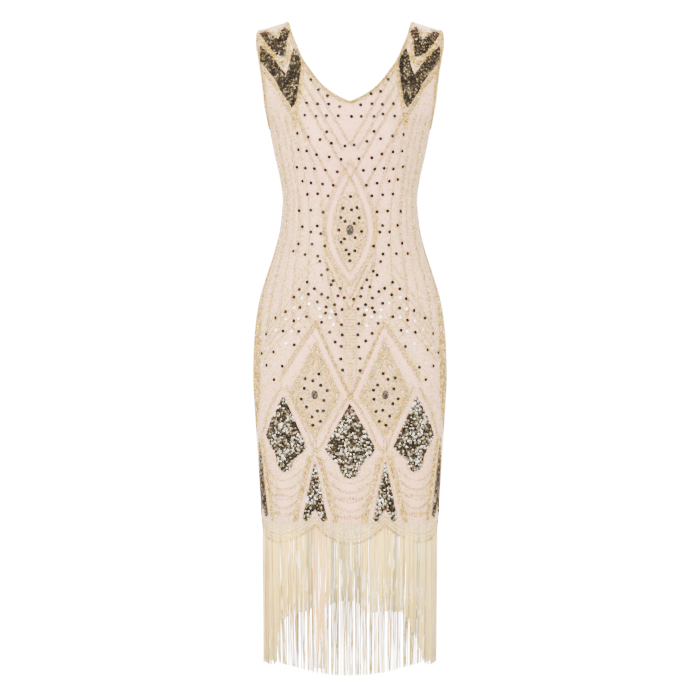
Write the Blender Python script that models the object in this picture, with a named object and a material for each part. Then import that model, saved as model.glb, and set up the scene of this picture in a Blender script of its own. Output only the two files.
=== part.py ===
"""A sleeveless beaded evening dress in the 1920s manner, filled out as it is when worn.

The dress is a beaded net shell over a satin lining. Each is cut as a front and a back that meet at
the side seams and on the shoulders. Beaded piping finishes the neck and both armholes, sequined
motifs and three set stones lie on each panel, and a heading tape under the scalloped hem carries
the fringe.

Metres, +Z up, front towards -Y, the wearer's left at +X. The origin lies midway between the two
shoulder ridges, level with their inner ends, where the wearer's shoulders carry the dress.
Places on the cloth are given as a drop, the distance below the origin, and as a distance from the
centre line, either straight across or along the cloth.
"""

import math
import random

import bmesh
import bpy
import numpy as np
from mathutils import Vector

SHELL_THICKNESS = 0.0012
LINING_THICKNESS = 0.0010
LINING_EDGE_GAP = 0.0006
LINING_HANGING_GAP = 0.0026
LINING_INSET = 0.003
SEAM_GAP = 0.0003

# The form under the cloth. Widths are from the centre line to the side, depths from the side seam
# plane to the centre front or centre back. Squareness and roundness are the exponents of the level
# section, 2 and 2 being an ellipse.
STATION_COLUMNS = ("drop", "half_width", "front", "back", "squareness", "roundness")
STATIONS = (
    (0.000, 0.1605, 0.067, 0.058, 2.30, 1.15),
    (0.018, 0.1645, 0.068, 0.060, 2.30, 1.17),
    (0.040, 0.1645, 0.071, 0.065, 2.30, 1.20),
    (0.060, 0.1620, 0.077, 0.070, 2.30, 1.25),
    (0.092, 0.1570, 0.088, 0.077, 2.30, 1.35),
    (0.125, 0.1530, 0.099, 0.082, 2.30, 1.55),
    (0.157, 0.1500, 0.107, 0.084, 2.30, 1.80),
    (0.189, 0.1450, 0.112, 0.084, 2.30, 2.00),
    (0.236, 0.1360, 0.113, 0.081, 2.30, 2.00),
    (0.279, 0.1260, 0.105, 0.075, 2.30, 2.00),
    (0.322, 0.1206, 0.097, 0.071, 2.30, 2.00),
    (0.365, 0.1240, 0.096, 0.075, 2.30, 2.00),
    (0.409, 0.1340, 0.100, 0.087, 2.30, 2.00),
    (0.452, 0.1480, 0.105, 0.101, 2.30, 2.00),
    (0.495, 0.1610, 0.109, 0.112, 2.35, 2.00),
    (0.538, 0.1685, 0.113, 0.120, 2.35, 2.00),
    (0.581, 0.1720, 0.116, 0.125, 2.35, 2.00),
    (0.635, 0.1735, 0.118, 0.126, 2.35, 2.00),
    (0.689, 0.1710, 0.118, 0.124, 2.35, 2.00),
    (0.754, 0.1665, 0.117, 0.120, 2.35, 2.00),
    (0.819, 0.1625, 0.115, 0.116, 2.35, 2.00),
    (0.884, 0.1585, 0.113, 0.113, 2.35, 2.00),
    (0.940, 0.1560, 0.112, 0.112, 2.35, 2.00),
)
SECTION_STEPS = 60
SHOULDER_ROUNDING = 0.060
SHOULDER_SLOPE = 0.014
SHOULDER_SLOPE_REACH = 0.120
STRAP_INNER = 0.1125
STRAP_OUTER = 0.1600
UNDERARM = 0.189
ARMHOLE_CURVE_START = 0.110
ARMHOLE_DEPTH = {"front": 0.052, "back": 0.050}
BUST_ACROSS, BUST_DROP, BUST_FULLNESS = 0.066, 0.222, 0.011
BUST_SPREAD_ACROSS, BUST_SPREAD_DOWN = 0.038, 0.046

# Half of each neckline: how far from the centre line the edge lies at each drop.
NECK_COLUMNS = ("drop", "across")
FRONT_NECK = (
    (0.0000, 0.1125), (0.0280, 0.1050), (0.0505, 0.0960), (0.0742, 0.0861), (0.0970, 0.0711),
    (0.1222, 0.0520), (0.1360, 0.0360), (0.1481, 0.0170), (0.1555, 0.0000),
)
BACK_NECK = (
    (0.0000, 0.1125), (0.0300, 0.1065), (0.0600, 0.0975), (0.0900, 0.0840), (0.1200, 0.0655),
    (0.1440, 0.0455), (0.1640, 0.0230), (0.1780, 0.0000),
)
NECKS = {"front": FRONT_NECK, "back": BACK_NECK}

# The scalloped hem: three scallops on each panel, their points 61 mm from the centre line and at
# the side seams.
SCALLOP_POINT_DROP = 0.8975
SCALLOP_HEIGHT = 0.033
SCALLOP_POINT_SHARE = 0.285
SCALLOP_FADE = 0.090
LINING_HEM_DROP = 0.8960

SHELL_BODY_DROPS = (
    0.213, 0.240, 0.268, 0.296, 0.322, 0.349, 0.378, 0.409, 0.442, 0.478, 0.520, 0.570, 0.630,
    0.695, 0.760, 0.825, 0.862, SCALLOP_POINT_DROP,
)
LINING_BODY_DROPS = (
    0.228, 0.262, 0.295, 0.325, 0.356, 0.392, 0.432, 0.480, 0.545, 0.640, 0.770, LINING_HEM_DROP,
)

MOTIF_LIFT = 0.0009
CHORD_SAG = 0.0003
SEQUIN_LAYER = 0.0012
PIPING_WIDTH, PIPING_HEIGHT = 0.0030, 0.0024

STRANDS_PER_PANEL = 110
STRAND_WIDTH = 0.0022
STRAND_DEPTH = 0.0018
STRAND_TAPER = 0.75
FRINGE_DRAW_IN = 0.976
RAGGED_END = 0.0035
HEADING_GAP = 0.0004
HEADING_HEIGHT = 0.0030

COLOURS = {
    "net": ((0.78, 0.66, 0.55), 0.55, 0.0),
    "lining": ((0.87, 0.66, 0.60), 0.35, 0.0),
    "piping": ((0.72, 0.56, 0.30), 0.35, 0.6),
    "sequins": ((0.16, 0.13, 0.10), 0.25, 0.8),
    "stone": ((0.08, 0.07, 0.08), 0.12, 0.3),
    "fringe": ((0.85, 0.74, 0.57), 0.45, 0.0),
}


def clear_scene():
    for old in list(bpy.data.objects):
        bpy.data.objects.remove(old, do_unlink=True)


def finish_of(name):
    """One Principled material for each kind of finish, made the first time that it is asked for."""
    made = bpy.data.materials.get(name)
    if made is None:
        colour, roughness, metallic = COLOURS[name]
        made = bpy.data.materials.new(name)
        made.use_nodes = True
        shader = made.node_tree.nodes["Principled BSDF"]
        shader.inputs["Base Color"].default_value = (*colour, 1.0)
        shader.inputs["Roughness"].default_value = roughness
        shader.inputs["Metallic"].default_value = metallic
        made.diffuse_color = (*colour, 1.0)
    return made


def add_object(name, bm, finish, parent):
    """Turn a bmesh into a named object, cut into triangles so that its twisted faces are settled."""
    bmesh.ops.recalc_face_normals(bm, faces=bm.faces)
    bmesh.ops.triangulate(bm, faces=bm.faces)
    mesh = bpy.data.meshes.new(name)
    bm.to_mesh(mesh)
    bm.free()
    mesh.shade_smooth()
    mesh.set_sharp_from_angle(angle=math.radians(50))
    mesh.materials.append(finish_of(finish))
    made = bpy.data.objects.new(name, mesh)
    bpy.context.scene.collection.objects.link(made)
    made.parent = parent
    return made


# ---- the form under the cloth


def smooth_value(table, column, at):
    """A column of a table at a given first value, on a monotone cubic through its rows."""
    xs = np.array([row[0] for row in table])
    ys = np.array([row[column] for row in table])
    at = min(max(at, xs[0]), xs[-1])
    steps, slopes = np.diff(xs), np.diff(ys) / np.diff(xs)
    tangents = np.zeros(len(xs))
    tangents[0], tangents[-1] = slopes[0], slopes[-1]
    for i in range(1, len(xs) - 1):
        if slopes[i - 1] * slopes[i] > 0:
            before, after = 2 * steps[i] + steps[i - 1], steps[i] + 2 * steps[i - 1]
            tangents[i] = (before + after) / (before / slopes[i - 1] + after / slopes[i])
    i = min(max(int(np.searchsorted(xs, at)) - 1, 0), len(xs) - 2)
    t = (at - xs[i]) / steps[i]
    start = (1 + 2 * t) * (1 - t) ** 2 * ys[i] + t * t * (3 - 2 * t) * ys[i + 1]
    turn = t * (1 - t) ** 2 * tangents[i] - t * t * (1 - t) * tangents[i + 1]
    return start + turn * steps[i]


def station(drop, name):
    return smooth_value(STATIONS, STATION_COLUMNS.index(name), drop)


def quarter_round(share):
    """0 at 0 and 1 from 1 on, along a quarter of a circle."""
    share = min(max(share, 0.0), 1.0)
    return math.sqrt(1.0 - (1.0 - share) ** 2)


def section(side, drop):
    """Half of the level section at a drop: across, depth and length along it, from the centre.

    It is a rounded curve that runs to the side seam, or stops short at the armhole's edge.
    """
    over_shoulder = quarter_round(drop / SHOULDER_ROUNDING)
    armhole = quarter_round((UNDERARM - drop) / (UNDERARM - ARMHOLE_CURVE_START))
    across_power = 2 / station(drop, "squareness")
    depth_power = 2 / station(drop, "roundness")
    edge_share = ARMHOLE_DEPTH[side] * armhole / station(drop, side)
    turn = np.linspace(0.0, math.acos(edge_share ** (1 / depth_power)), SECTION_STEPS)
    across = station(drop, "half_width") * (np.sin(turn) / math.sin(turn[-1])) ** across_power
    rounded = np.clip(np.cos(turn), 0.0, 1.0) ** depth_power
    deep = station(drop, side) * over_shoulder * rounded
    if side == "front":
        beside = (across - BUST_ACROSS) / BUST_SPREAD_ACROSS
        below = (drop - BUST_DROP) / BUST_SPREAD_DOWN
        deep = deep + BUST_FULLNESS * np.exp(-beside**2 - below**2) * rounded
    length = np.concatenate([[0.0], np.cumsum(np.hypot(np.diff(across), np.diff(deep)))])
    return across, deep, length


def half_girth(side, drop):
    return section(side, drop)[2][-1]


def along_from_across(side, drop, across):
    """The distance along the cloth of the point that lies so far straight across."""
    xs, _, length = section(side, drop)
    return math.copysign(float(np.interp(abs(across), xs, length)), across)


def form_point(side, along, drop):
    """The point of the form at a distance along the cloth from its centre line, and at a drop."""
    xs, deep, length = section(side, drop)
    across = float(np.interp(abs(along), length, xs))
    depth = float(np.interp(abs(along), length, deep))
    share = min(max((across - STRAP_INNER) / (STRAP_OUTER - STRAP_INNER), 0.0), 1.0)
    fade = max(0.0, 1.0 - drop / SHOULDER_SLOPE_REACH) ** 2
    height = -drop - SHOULDER_SLOPE * share * fade
    facing = -1.0 if side == "front" else 1.0
    return Vector((math.copysign(across, along), facing * depth, height))


def form_normal(side, along, drop):
    """The outward direction of the form there. On the seam plane it lies in that plane."""
    step, girth = 0.0004, half_girth(side, drop)
    low, high = max(along - step, -girth), min(along + step, girth)
    up, down = max(drop - step, 0.0), drop + step
    on_side_seam = girth - abs(along) < 1e-6 and drop >= UNDERARM - 1e-6
    if on_side_seam:
        edge = [form_point(side, math.copysign(half_girth(side, d), along), d) for d in (up, down)]
        run = edge[1] - edge[0]
        return Vector((-run.z, 0.0, run.x)).normalized() * math.copysign(1.0, -run.z * along)
    if drop <= 1e-6:
        run = form_point(side, high, 0.0) - form_point(side, low, 0.0)
        return Vector((-run.z, 0.0, run.x)).normalized()
    across = form_point(side, high, drop) - form_point(side, low, drop)
    down_cloth = form_point(side, along, down) - form_point(side, along, up)
    normal = down_cloth.cross(across).normalized()
    facing = -1.0 if side == "front" else 1.0
    return normal * math.copysign(1.0, -normal.y * -facing) if abs(normal.y) > 1e-9 else normal


def lifted(side, along, drop, lift):
    """A point lifted off the form, kept on its own side of the seam plane."""
    point = form_point(side, along, drop) + form_normal(side, along, drop) * lift
    if side == "front":
        point.y = min(point.y, -SEAM_GAP / 2)
    else:
        point.y = max(point.y, SEAM_GAP / 2)
    return point


# ---- cloth panels


def scallop(share):
    """How far the hem hangs below the scallop points, at a share of the way to the side seam."""
    if share < SCALLOP_POINT_SHARE:
        t = 0.5 + 0.5 * share / SCALLOP_POINT_SHARE
    else:
        t = (share - SCALLOP_POINT_SHARE) / (1.0 - SCALLOP_POINT_SHARE)
    return SCALLOP_HEIGHT * 4.0 * t * (1.0 - t)


def column_shares(centre_columns, side_columns):
    """Column lines from the centre line to the side, one of them on the scallop's point."""
    centre = [SCALLOP_POINT_SHARE * i / centre_columns for i in range(centre_columns)]
    rest = 1.0 - SCALLOP_POINT_SHARE
    return centre + [SCALLOP_POINT_SHARE + rest * i / side_columns for i in range(side_columns + 1)]


def neck_drops(side, ridge_rows, neck_rows, lower):
    """Row lines from the shoulder ridge to the point of the neck, closer together at both ends."""
    rows = [SHOULDER_ROUNDING * (1 - math.cos(math.pi / 2 * i / ridge_rows)) for i in range(ridge_rows)]
    point = NECKS[side][-1][0] + lower
    for i in range(neck_rows + 1):
        rows.append(SHOULDER_ROUNDING + (point - SHOULDER_ROUNDING) * (1 - (1 - i / neck_rows) ** 1.6))
    return rows


def panel_grid(side, drops, shares, neck_row, inset=0.0, scalloped=False):
    """Places of a half panel, row by row from the shoulder down, as (along, drop) pairs."""
    grid = []
    for number, drop in enumerate(drops):
        girth = half_girth(side, drop)
        inner = 0.0
        if number < neck_row:
            across = smooth_value(NECKS[side], 1, max(drop - inset, 0.0)) + inset
            inner = along_from_across(side, drop, across)
        outer = girth
        if inset and drop < UNDERARM:
            rise = (UNDERARM - drop) / (UNDERARM - ARMHOLE_CURVE_START)
            outer = girth - inset * (1.0 + 2.0 * max(0.0, 1.0 - 2.0 * rise))
        row = []
        for share in shares:
            hang = 0.0
            if scalloped:
                fade = max(0.0, 1.0 - (SCALLOP_POINT_DROP - drop) / SCALLOP_FADE)
                hang = scallop(share) * fade * fade
            row.append((inner + (outer - inner) * share, drop + hang))
        grid.append(row)
    return grid


def mirrored_row(row, open_at_centre):
    """A whole row from the wearer's right to left, with the centre point doubled above the neck's point."""
    right = [(-along, drop) for along, drop in reversed(row)]
    return right + (row if open_at_centre else row[1:])


def cloth_panel(name, side, grid, neck_row, outer_lift, thickness, finish, parent):
    """A closed wall of cloth: the outer face on the grid, the inner face beneath it, and all edges."""
    bm = bmesh.new()
    last = len(grid[0]) - 1
    layers = []
    for depth in (0.0, thickness):
        rows = []
        for number, row in enumerate(grid):
            points = []
            for i, (along, drop) in enumerate(mirrored_row(row, number < neck_row)):
                column = min(abs(i - last), last) if number >= neck_row else abs(i - last - 0.5) - 0.5
                lift = outer_lift(number, column) - depth
                points.append(bm.verts.new(lifted(side, along, drop, lift)))
            rows.append(points)
        layers.append(rows)
    outer, inner = layers
    for r in range(len(grid) - 1):
        above_open, below_open = r < neck_row, r + 1 < neck_row
        for c in range(2 * last):
            right_half = c >= last
            top = c + (1 if above_open and right_half else 0)
            low = c + (1 if below_open and right_half else 0)
            corners = [(r, top), (r, top + 1), (r + 1, low + 1), (r + 1, low)]
            bm.faces.new([outer[a][b] for a, b in corners])
            bm.faces.new([inner[a][b] for a, b in reversed(corners)])
    partner = {o: i for orow, irow in zip(outer, inner) for o, i in zip(orow, irow)}
    for edge in [e for e in bm.edges if len(e.link_faces) == 1 and e.verts[0] in partner]:
        a, b = edge.verts
        bm.faces.new([a, b, partner[b], partner[a]])
    return add_object(name, bm, finish, parent)


def panel_rows(side, ridge_rows, neck_rows, body, lower=0.0):
    """Drops of every row line of a panel, and the number of the row at the neck's point."""
    top = neck_drops(side, ridge_rows, neck_rows, lower)
    neck_row = len(top) - 1
    underarm = UNDERARM + lower
    top += [top[-1] + (underarm - top[-1]) * share for share in (0.45, 0.80, 1.0)]
    return top + list(body), neck_row


def make_shell(parent):
    """The beaded net: a front and a back with scalloped hems."""
    grids = {}
    for side in ("front", "back"):
        drops, neck_row = panel_rows(side, 6, 6, SHELL_BODY_DROPS)
        grid = panel_grid(side, drops, column_shares(4, 8), neck_row, scalloped=True)
        cloth_panel(f"net_{side}", side, grid, neck_row, lambda r, c: 0.0, SHELL_THICKNESS, "net", parent)
        grids[side] = (grid, neck_row)
    return grids


def make_lining(parent):
    """The satin lining: sewn in along the neck and armholes, hanging clear below them."""
    for side in ("front", "back"):
        drops, neck_row = panel_rows(side, 3, 4, LINING_BODY_DROPS, LINING_INSET)
        shares = column_shares(2, 4)
        grid = panel_grid(side, drops, shares, neck_row, inset=LINING_INSET)
        arm_row = sum(drop <= UNDERARM + LINING_INSET + 1e-6 for drop in drops) - 1
        last = len(shares) - 1

        def outer_lift(row, column, neck_row=neck_row, arm_row=arm_row, last=last):
            sewn = (row <= neck_row and column == 0) or (row <= arm_row and column == last)
            return -SHELL_THICKNESS - (LINING_EDGE_GAP if sewn or row == 0 else LINING_HANGING_GAP)

        cloth_panel(f"lining_{side}", side, grid, neck_row, outer_lift, LINING_THICKNESS, "lining", parent)


# ---- piping round the neck and the armholes


def edge_stop(side, edge_place, inner_place, up=False):
    """A stop on the cloth's edge: the point, the direction away from the cloth, and its outward normal."""
    point = form_point(side, *edge_place)
    normal = form_normal(side, *edge_place)
    away = Vector((0, 0, 1)) if up else point - form_point(side, *inner_place)
    return point, away, normal


def make_piping(name, stops, parent):
    """A closed ring of piping, its section a rounded square, just outside the cloth's edge."""
    bm = bmesh.new()
    count = len(stops)
    rings = []
    for i, (point, away, normal) in enumerate(stops):
        along = (stops[(i + 1) % count][0] - stops[i - 1][0]).normalized()
        normal = (normal - along * normal.dot(along)).normalized()
        away = away - along * away.dot(along) - normal * away.dot(normal)
        away.normalize()
        centre = point + away * (SEAM_GAP + PIPING_WIDTH / 2) - normal * (SHELL_THICKNESS / 2)
        corners = []
        for u, v in ((-1, -0.45), (-1, 0.45), (0.0, 1), (1, 0.0), (0.0, -1)):
            corners.append(bm.verts.new(centre + away * (u * PIPING_WIDTH / 2) + normal * (v * PIPING_HEIGHT / 2)))
        rings.append(corners)
    for i, ring in enumerate(rings):
        after = rings[(i + 1) % count]
        for k in range(len(ring)):
            n = (k + 1) % len(ring)
            bm.faces.new([ring[k], ring[n], after[n], after[k]])
    add_object(name, bm, "piping", parent)


def make_neck_piping(grids, parent):
    front, front_row = grids["front"]
    back, back_row = grids["back"]

    def half(side, grid, neck_row, sign):
        stops = []
        for row in grid[1:neck_row]:
            edge, inner = ((sign * along, drop) for along, drop in row[:2])
            stops.append(edge_stop(side, edge, inner))
        return stops

    def point_stop(side, grid, neck_row):
        return edge_stop(side, grid[neck_row][0], grid[neck_row + 1][0])

    def ridge_stop(sign):
        edge, inner = ((sign * along, drop) for along, drop in front[0][:2])
        return edge_stop("front", edge, inner)

    stops = [ridge_stop(1)] + half("front", front, front_row, 1) + [point_stop("front", front, front_row)]
    stops += half("front", front, front_row, -1)[::-1] + [ridge_stop(-1)]
    stops += half("back", back, back_row, -1) + [point_stop("back", back, back_row)]
    stops += half("back", back, back_row, 1)[::-1]
    make_piping("neck_piping", stops, parent)


def make_armhole_piping(grids, parent):
    for name, sign in (("armhole_piping_left", 1), ("armhole_piping_right", -1)):
        stops = []
        for side in ("front", "back"):
            grid = grids[side][0]
            rows = [row for row in grid if row[-1][1] < UNDERARM - 1e-6]
            half = []
            for number, row in enumerate(rows):
                edge, inner = ((sign * along, drop) for along, drop in (row[-1], row[-2]))
                half.append(edge_stop(side, edge, inner))
            stops += half[::-1] if side == "front" else half[1:]
        bottom = (sign * half_girth("front", UNDERARM), UNDERARM)
        stops.append(edge_stop("front", bottom, bottom, up=True))
        make_piping(name, stops, parent)


# ---- sequined motifs, drawn as ribbons between two edges


def parts_needed(side, first, second):
    """How many straight parts a line on the cloth needs so that none sinks far below the round."""
    middle = [(p + q) / 2 for p, q in zip(first, second)]
    chord_middle = (form_point(side, *first) + form_point(side, *second)) / 2
    sag = (form_point(side, *middle) - chord_middle).length
    return max(1, math.ceil(math.sqrt(sag / CHORD_SAG)))


def between(first, second, share):
    return tuple(p + (q - p) * share for p, q in zip(first, second))


def closer_pairs(side, pairs):
    """The same ribbon with further pairs between, so that it can follow the round of the cloth."""
    closer = [pairs[0]]
    for (a, b), (c, d) in zip(pairs, pairs[1:]):
        steps = max(parts_needed(side, a, c), parts_needed(side, b, d))
        closer += [(between(a, c, i / steps), between(b, d, i / steps)) for i in range(1, steps + 1)]
    return closer


def make_motif(name, side, pairs, parent):
    """A layer of sequins on the cloth between paired edge points, each given as (along, drop)."""
    pairs = closer_pairs(side, pairs)
    columns = max(parts_needed(side, first, second) for first, second in pairs)
    bm = bmesh.new()
    layers = []
    for lift in (MOTIF_LIFT + SEQUIN_LAYER, MOTIF_LIFT):
        rows = []
        for first, second in pairs:
            row = []
            for i in range(columns + 1):
                row.append(bm.verts.new(lifted(side, *between(first, second, i / columns), lift)))
            rows.append(row)
        layers.append(rows)
    outer, inner = layers
    for r in range(len(pairs) - 1):
        for c in range(columns):
            corners = [(r, c), (r, c + 1), (r + 1, c + 1), (r + 1, c)]
            bm.faces.new([outer[a][b] for a, b in corners])
            bm.faces.new([inner[a][b] for a, b in reversed(corners)])
    partner = {o: i for orow, irow in zip(outer, inner) for o, i in zip(orow, irow)}
    for edge in [e for e in bm.edges if len(e.link_faces) == 1 and e.verts[0] in partner]:
        a, b = edge.verts
        bm.faces.new([a, b, partner[b], partner[a]])
    add_object(name, bm, "sequins", parent)


# The skirt's motifs follow cross lines that rise from the centre front towards the side seams.
SIDE_RISE, SIDE_RISE_AT = 0.036, 0.200
SIDE_RISE_FADE = 0.110

# A spearhead: half widths down its own centre line, with a bud at its foot.
SPEAR_COLUMNS = ("half_width", "drop")
SPEAR = (
    (0.0010, 0.6845), (0.0125, 0.7060), (0.0245, 0.7270), (0.0355, 0.7475), (0.0430, 0.7640),
    (0.0345, 0.7755), (0.0245, 0.7845), (0.0175, 0.7915), (0.0160, 0.8010), (0.0095, 0.8095),
    (0.0020, 0.8135),
)
SIDE_SPEAR_ALONG = 0.121

# A forked tail over each scallop point: the outer edge and the inner edge of one leg, foot first.
FORK_COLUMNS = ("outer_half_width", "outer_drop", "inner_half_width", "inner_drop")
FORK_LEG = (
    (0.0215, 0.8845, 0.0150, 0.8900),
    (0.0165, 0.8655, 0.0090, 0.8810),
    (0.0125, 0.8420, 0.0040, 0.8720),
    (0.0060, 0.8150, 0.0015, 0.8690),
)
FORK_TIP_DROP, FORK_NOTCH_DROP = 0.7900, 0.8670
FORK_ALONG = 0.0620

# Shoulder chevrons: paired lower and upper edge points, from the armhole arm to the neck arm, given
# straight across and as a drop.
CHEVRON_COLUMNS = ("lower_across", "lower_drop", "upper_across", "upper_drop")
UPPER_CHEVRON = (
    (0.1585, 0.0150, 0.1505, 0.0130),
    (0.1435, 0.0430, 0.1400, 0.0270),
    (0.1320, 0.0600, 0.1310, 0.0360),
    (0.1170, 0.0700, 0.1262, 0.0385),
    (0.1152, 0.0420, 0.1205, 0.0250),
    (0.1095, 0.0285, 0.1170, 0.0185),
)
LOWER_CHEVRON = (
    (0.1550, 0.0770, 0.1560, 0.0600),
    (0.1425, 0.0950, 0.1370, 0.0705),
    (0.1295, 0.1130, 0.1290, 0.0825),
    (0.1180, 0.1350, 0.1210, 0.0945),
    (0.1005, 0.1625, 0.1130, 0.1040),
    (0.0950, 0.1480, 0.1095, 0.0960),
    (0.0905, 0.1190, 0.1060, 0.0850),
    (0.0885, 0.0880, 0.1035, 0.0735),
    (0.0925, 0.0715, 0.1005, 0.0610),
)


def on_skirt(along, drop):
    """A place of the skirt's pattern, raised towards the side seam."""
    fade = min(max((SCALLOP_POINT_DROP - drop) / SIDE_RISE_FADE, 0.0), 1.0)
    return along, drop - SIDE_RISE * (along / SIDE_RISE_AT) ** 2 * fade


def spear_pairs(centre):
    return [(on_skirt(centre - half, drop), on_skirt(centre + half, drop)) for half, drop in SPEAR]


def fork_pairs(centre):
    legs = {}
    for sign in (-1, 1):
        legs[sign] = [
            (on_skirt(centre + sign * outer, outer_drop), on_skirt(centre + sign * inner, inner_drop))
            for outer, outer_drop, inner, inner_drop in FORK_LEG
        ]
    tip = [(on_skirt(centre, FORK_TIP_DROP), on_skirt(centre, FORK_NOTCH_DROP))]
    return legs[-1] + tip + legs[1][::-1]


def chevron_pairs(side, table, sign):
    pairs = []
    for lower_across, lower_drop, upper_across, upper_drop in table:
        lower = (sign * along_from_across(side, lower_drop, lower_across), lower_drop)
        upper = (sign * along_from_across(side, upper_drop, upper_across), upper_drop)
        pairs.append((lower, upper))
    return pairs


def make_motifs(parent):
    for side in ("front", "back"):
        for name, sign in (("left", 1), ("right", -1)):
            upper = chevron_pairs(side, UPPER_CHEVRON, sign)
            lower = chevron_pairs(side, LOWER_CHEVRON, sign)
            make_motif(f"chevron_{side}_{name}_upper", side, upper, parent)
            make_motif(f"chevron_{side}_{name}_lower", side, lower, parent)
            make_motif(f"spear_{side}_{name}", side, spear_pairs(sign * SIDE_SPEAR_ALONG), parent)
            make_motif(f"fork_{side}_{name}", side, fork_pairs(sign * FORK_ALONG), parent)
        make_motif(f"spear_{side}_centre", side, spear_pairs(0.0), parent)


# ---- set stones in the middle of each lozenge

STONE_COLUMNS = ("name", "along", "drop", "half_width", "half_height", "lift")
STONES = (
    ("waist", 0.0, 0.3785, 0.0072, 0.0102, 0.0010),
    ("hip_left", FORK_ALONG, 0.6710, 0.0062, 0.0086, 0.0002),
    ("hip_right", -FORK_ALONG, 0.6710, 0.0062, 0.0086, 0.0002),
)
STONE_RISE = 0.0042
STONE_SIDES = 10


def make_stones(parent):
    """Oval faceted stones in flat-backed settings, two rings of facets under a table."""
    for side in ("front", "back"):
        for name, along, drop, half_width, half_height, lift in STONES:
            bm = bmesh.new()
            rings = []
            for share, rise in ((1.0, 0.0), (1.0, 0.35), (0.55, 1.0)):
                ring = []
                for i in range(STONE_SIDES):
                    angle = 2 * math.pi * i / STONE_SIDES
                    at = along + half_width * share * math.cos(angle)
                    down = drop + half_height * share * math.sin(angle)
                    place = on_skirt(at, down)
                    ring.append(bm.verts.new(lifted(side, *place, lift + STONE_RISE * rise)))
                rings.append(ring)
            bm.faces.new(rings[0])
            bm.faces.new(rings[-1])
            for low, high in zip(rings, rings[1:]):
                for i in range(STONE_SIDES):
                    n = (i + 1) % STONE_SIDES
                    bm.faces.new([low[i], low[n], high[n], high[i]])
            add_object(f"stone_{side}_{name}", bm, "stone", parent)


# ---- fringe

FRONT_FRINGE_DROP = 1.037
LONG_FRINGE_DROP = 1.150
BACK_FRINGE_CENTRE_DROP = 1.194
FRONT_ARCH_FROM, FRONT_ARCH_TO = 0.098, 0.138
LONG_LOCK = (-0.067, -0.046)


def fringe_end(side, across):
    """The drop of a strand's end: the front is cut as an arch, the back a little longer at the centre."""
    if side == "back":
        share = abs(across) / station(SCALLOP_POINT_DROP, "half_width")
        return BACK_FRINGE_CENTRE_DROP - (BACK_FRINGE_CENTRE_DROP - LONG_FRINGE_DROP) * share**2
    if LONG_LOCK[0] < across < LONG_LOCK[1]:
        return LONG_FRINGE_DROP
    share = min(max((abs(across) - FRONT_ARCH_FROM) / (FRONT_ARCH_TO - FRONT_ARCH_FROM), 0.0), 1.0)
    return FRONT_FRINGE_DROP + (LONG_FRINGE_DROP - FRONT_FRINGE_DROP) * share**1.5


def make_fringe(side, parent):
    """A heading tape just under the scalloped edge, with three-sided strands growing from its underside."""
    rng = random.Random(7 if side == "front" else 11)
    girth = half_girth(side, SCALLOP_POINT_DROP)
    reach = girth - STRAND_WIDTH / 2 - SEAM_GAP
    bm = bmesh.new()
    stops = []
    for i in range(STRANDS_PER_PANEL):
        along = -reach + 2 * reach * i / (STRANDS_PER_PANEL - 1)
        places = []
        for shift, depth in ((-0.5, 0.0), (0.5, 0.0), (0.0, STRAND_DEPTH)):
            at = along + shift * STRAND_WIDTH
            drop = SCALLOP_POINT_DROP + scallop(min(abs(at) / girth, 1.0)) + HEADING_GAP + HEADING_HEIGHT
            places.append(lifted(side, at, drop, -depth))
        top_drop = SCALLOP_POINT_DROP + scallop(min(abs(along) / girth, 1.0)) + HEADING_GAP
        top = bm.verts.new(lifted(side, along, top_drop, -STRAND_DEPTH / 2))
        root = [bm.verts.new(place) for place in places]
        middle = (places[0] + places[1] + places[2]) / 3
        end_drop = fringe_end(side, middle.x) - rng.uniform(0, RAGGED_END)
        sway = Vector((rng.uniform(-0.0005, 0.0005), rng.uniform(-0.0005, 0.0005), 0.0))
        foot = Vector((middle.x * FRINGE_DRAW_IN, middle.y * FRINGE_DRAW_IN, -end_drop)) + sway
        tip = []
        for place in places:
            offset = (place - middle) * STRAND_TAPER
            tip.append(bm.verts.new(foot + Vector((offset.x, offset.y, 0.0))))
        for k in range(3):
            n = (k + 1) % 3
            bm.faces.new([root[k], root[n], tip[n], tip[k]])
        bm.faces.new(tip)
        stops.append((top, *root))
    for (top, left, right, back), (top2, left2, right2, back2) in zip(stops, stops[1:]):
        bm.faces.new([top, right, left2])
        bm.faces.new([top, left2, top2])
        bm.faces.new([top, back2, back])
        bm.faces.new([top, top2, back2])
        bm.faces.new([right, back, back2, left2])
    for top, left, right, back in stops:
        bm.faces.new([top, left, right])
    first, last = stops[0], stops[-1]
    bm.faces.new([first[0], first[3], first[1]])
    bm.faces.new([last[0], last[2], last[3]])
    add_object(f"fringe_{side}", bm, "fringe", parent)


def main():
    clear_scene()
    dress = bpy.data.objects.new("dress", None)
    bpy.context.scene.collection.objects.link(dress)
    grids = make_shell(dress)
    make_lining(dress)
    make_neck_piping(grids, dress)
    make_armhole_piping(grids, dress)
    make_motifs(dress)
    make_stones(dress)
    for side in ("front", "back"):
        make_fringe(side, dress)


main()
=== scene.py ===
"""A flapper dress: beaded net over blush satin, with sequined motifs, set stones and long fringe.

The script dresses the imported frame. It follows the dress as it is put together: lining, net shell,
single sequins, sequined motifs, stones, bead embroidery, edge beading, fringe, then the studio.
Metres, +Z up, front towards -Y, the wearer's left at +X. Places on the cloth are given as along,
the length on the cloth from its centre line, and drop, the distance below the shoulders.
"""

import math

import bpy
import numpy as np
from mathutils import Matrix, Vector
from mathutils.kdtree import KDTree


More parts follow.
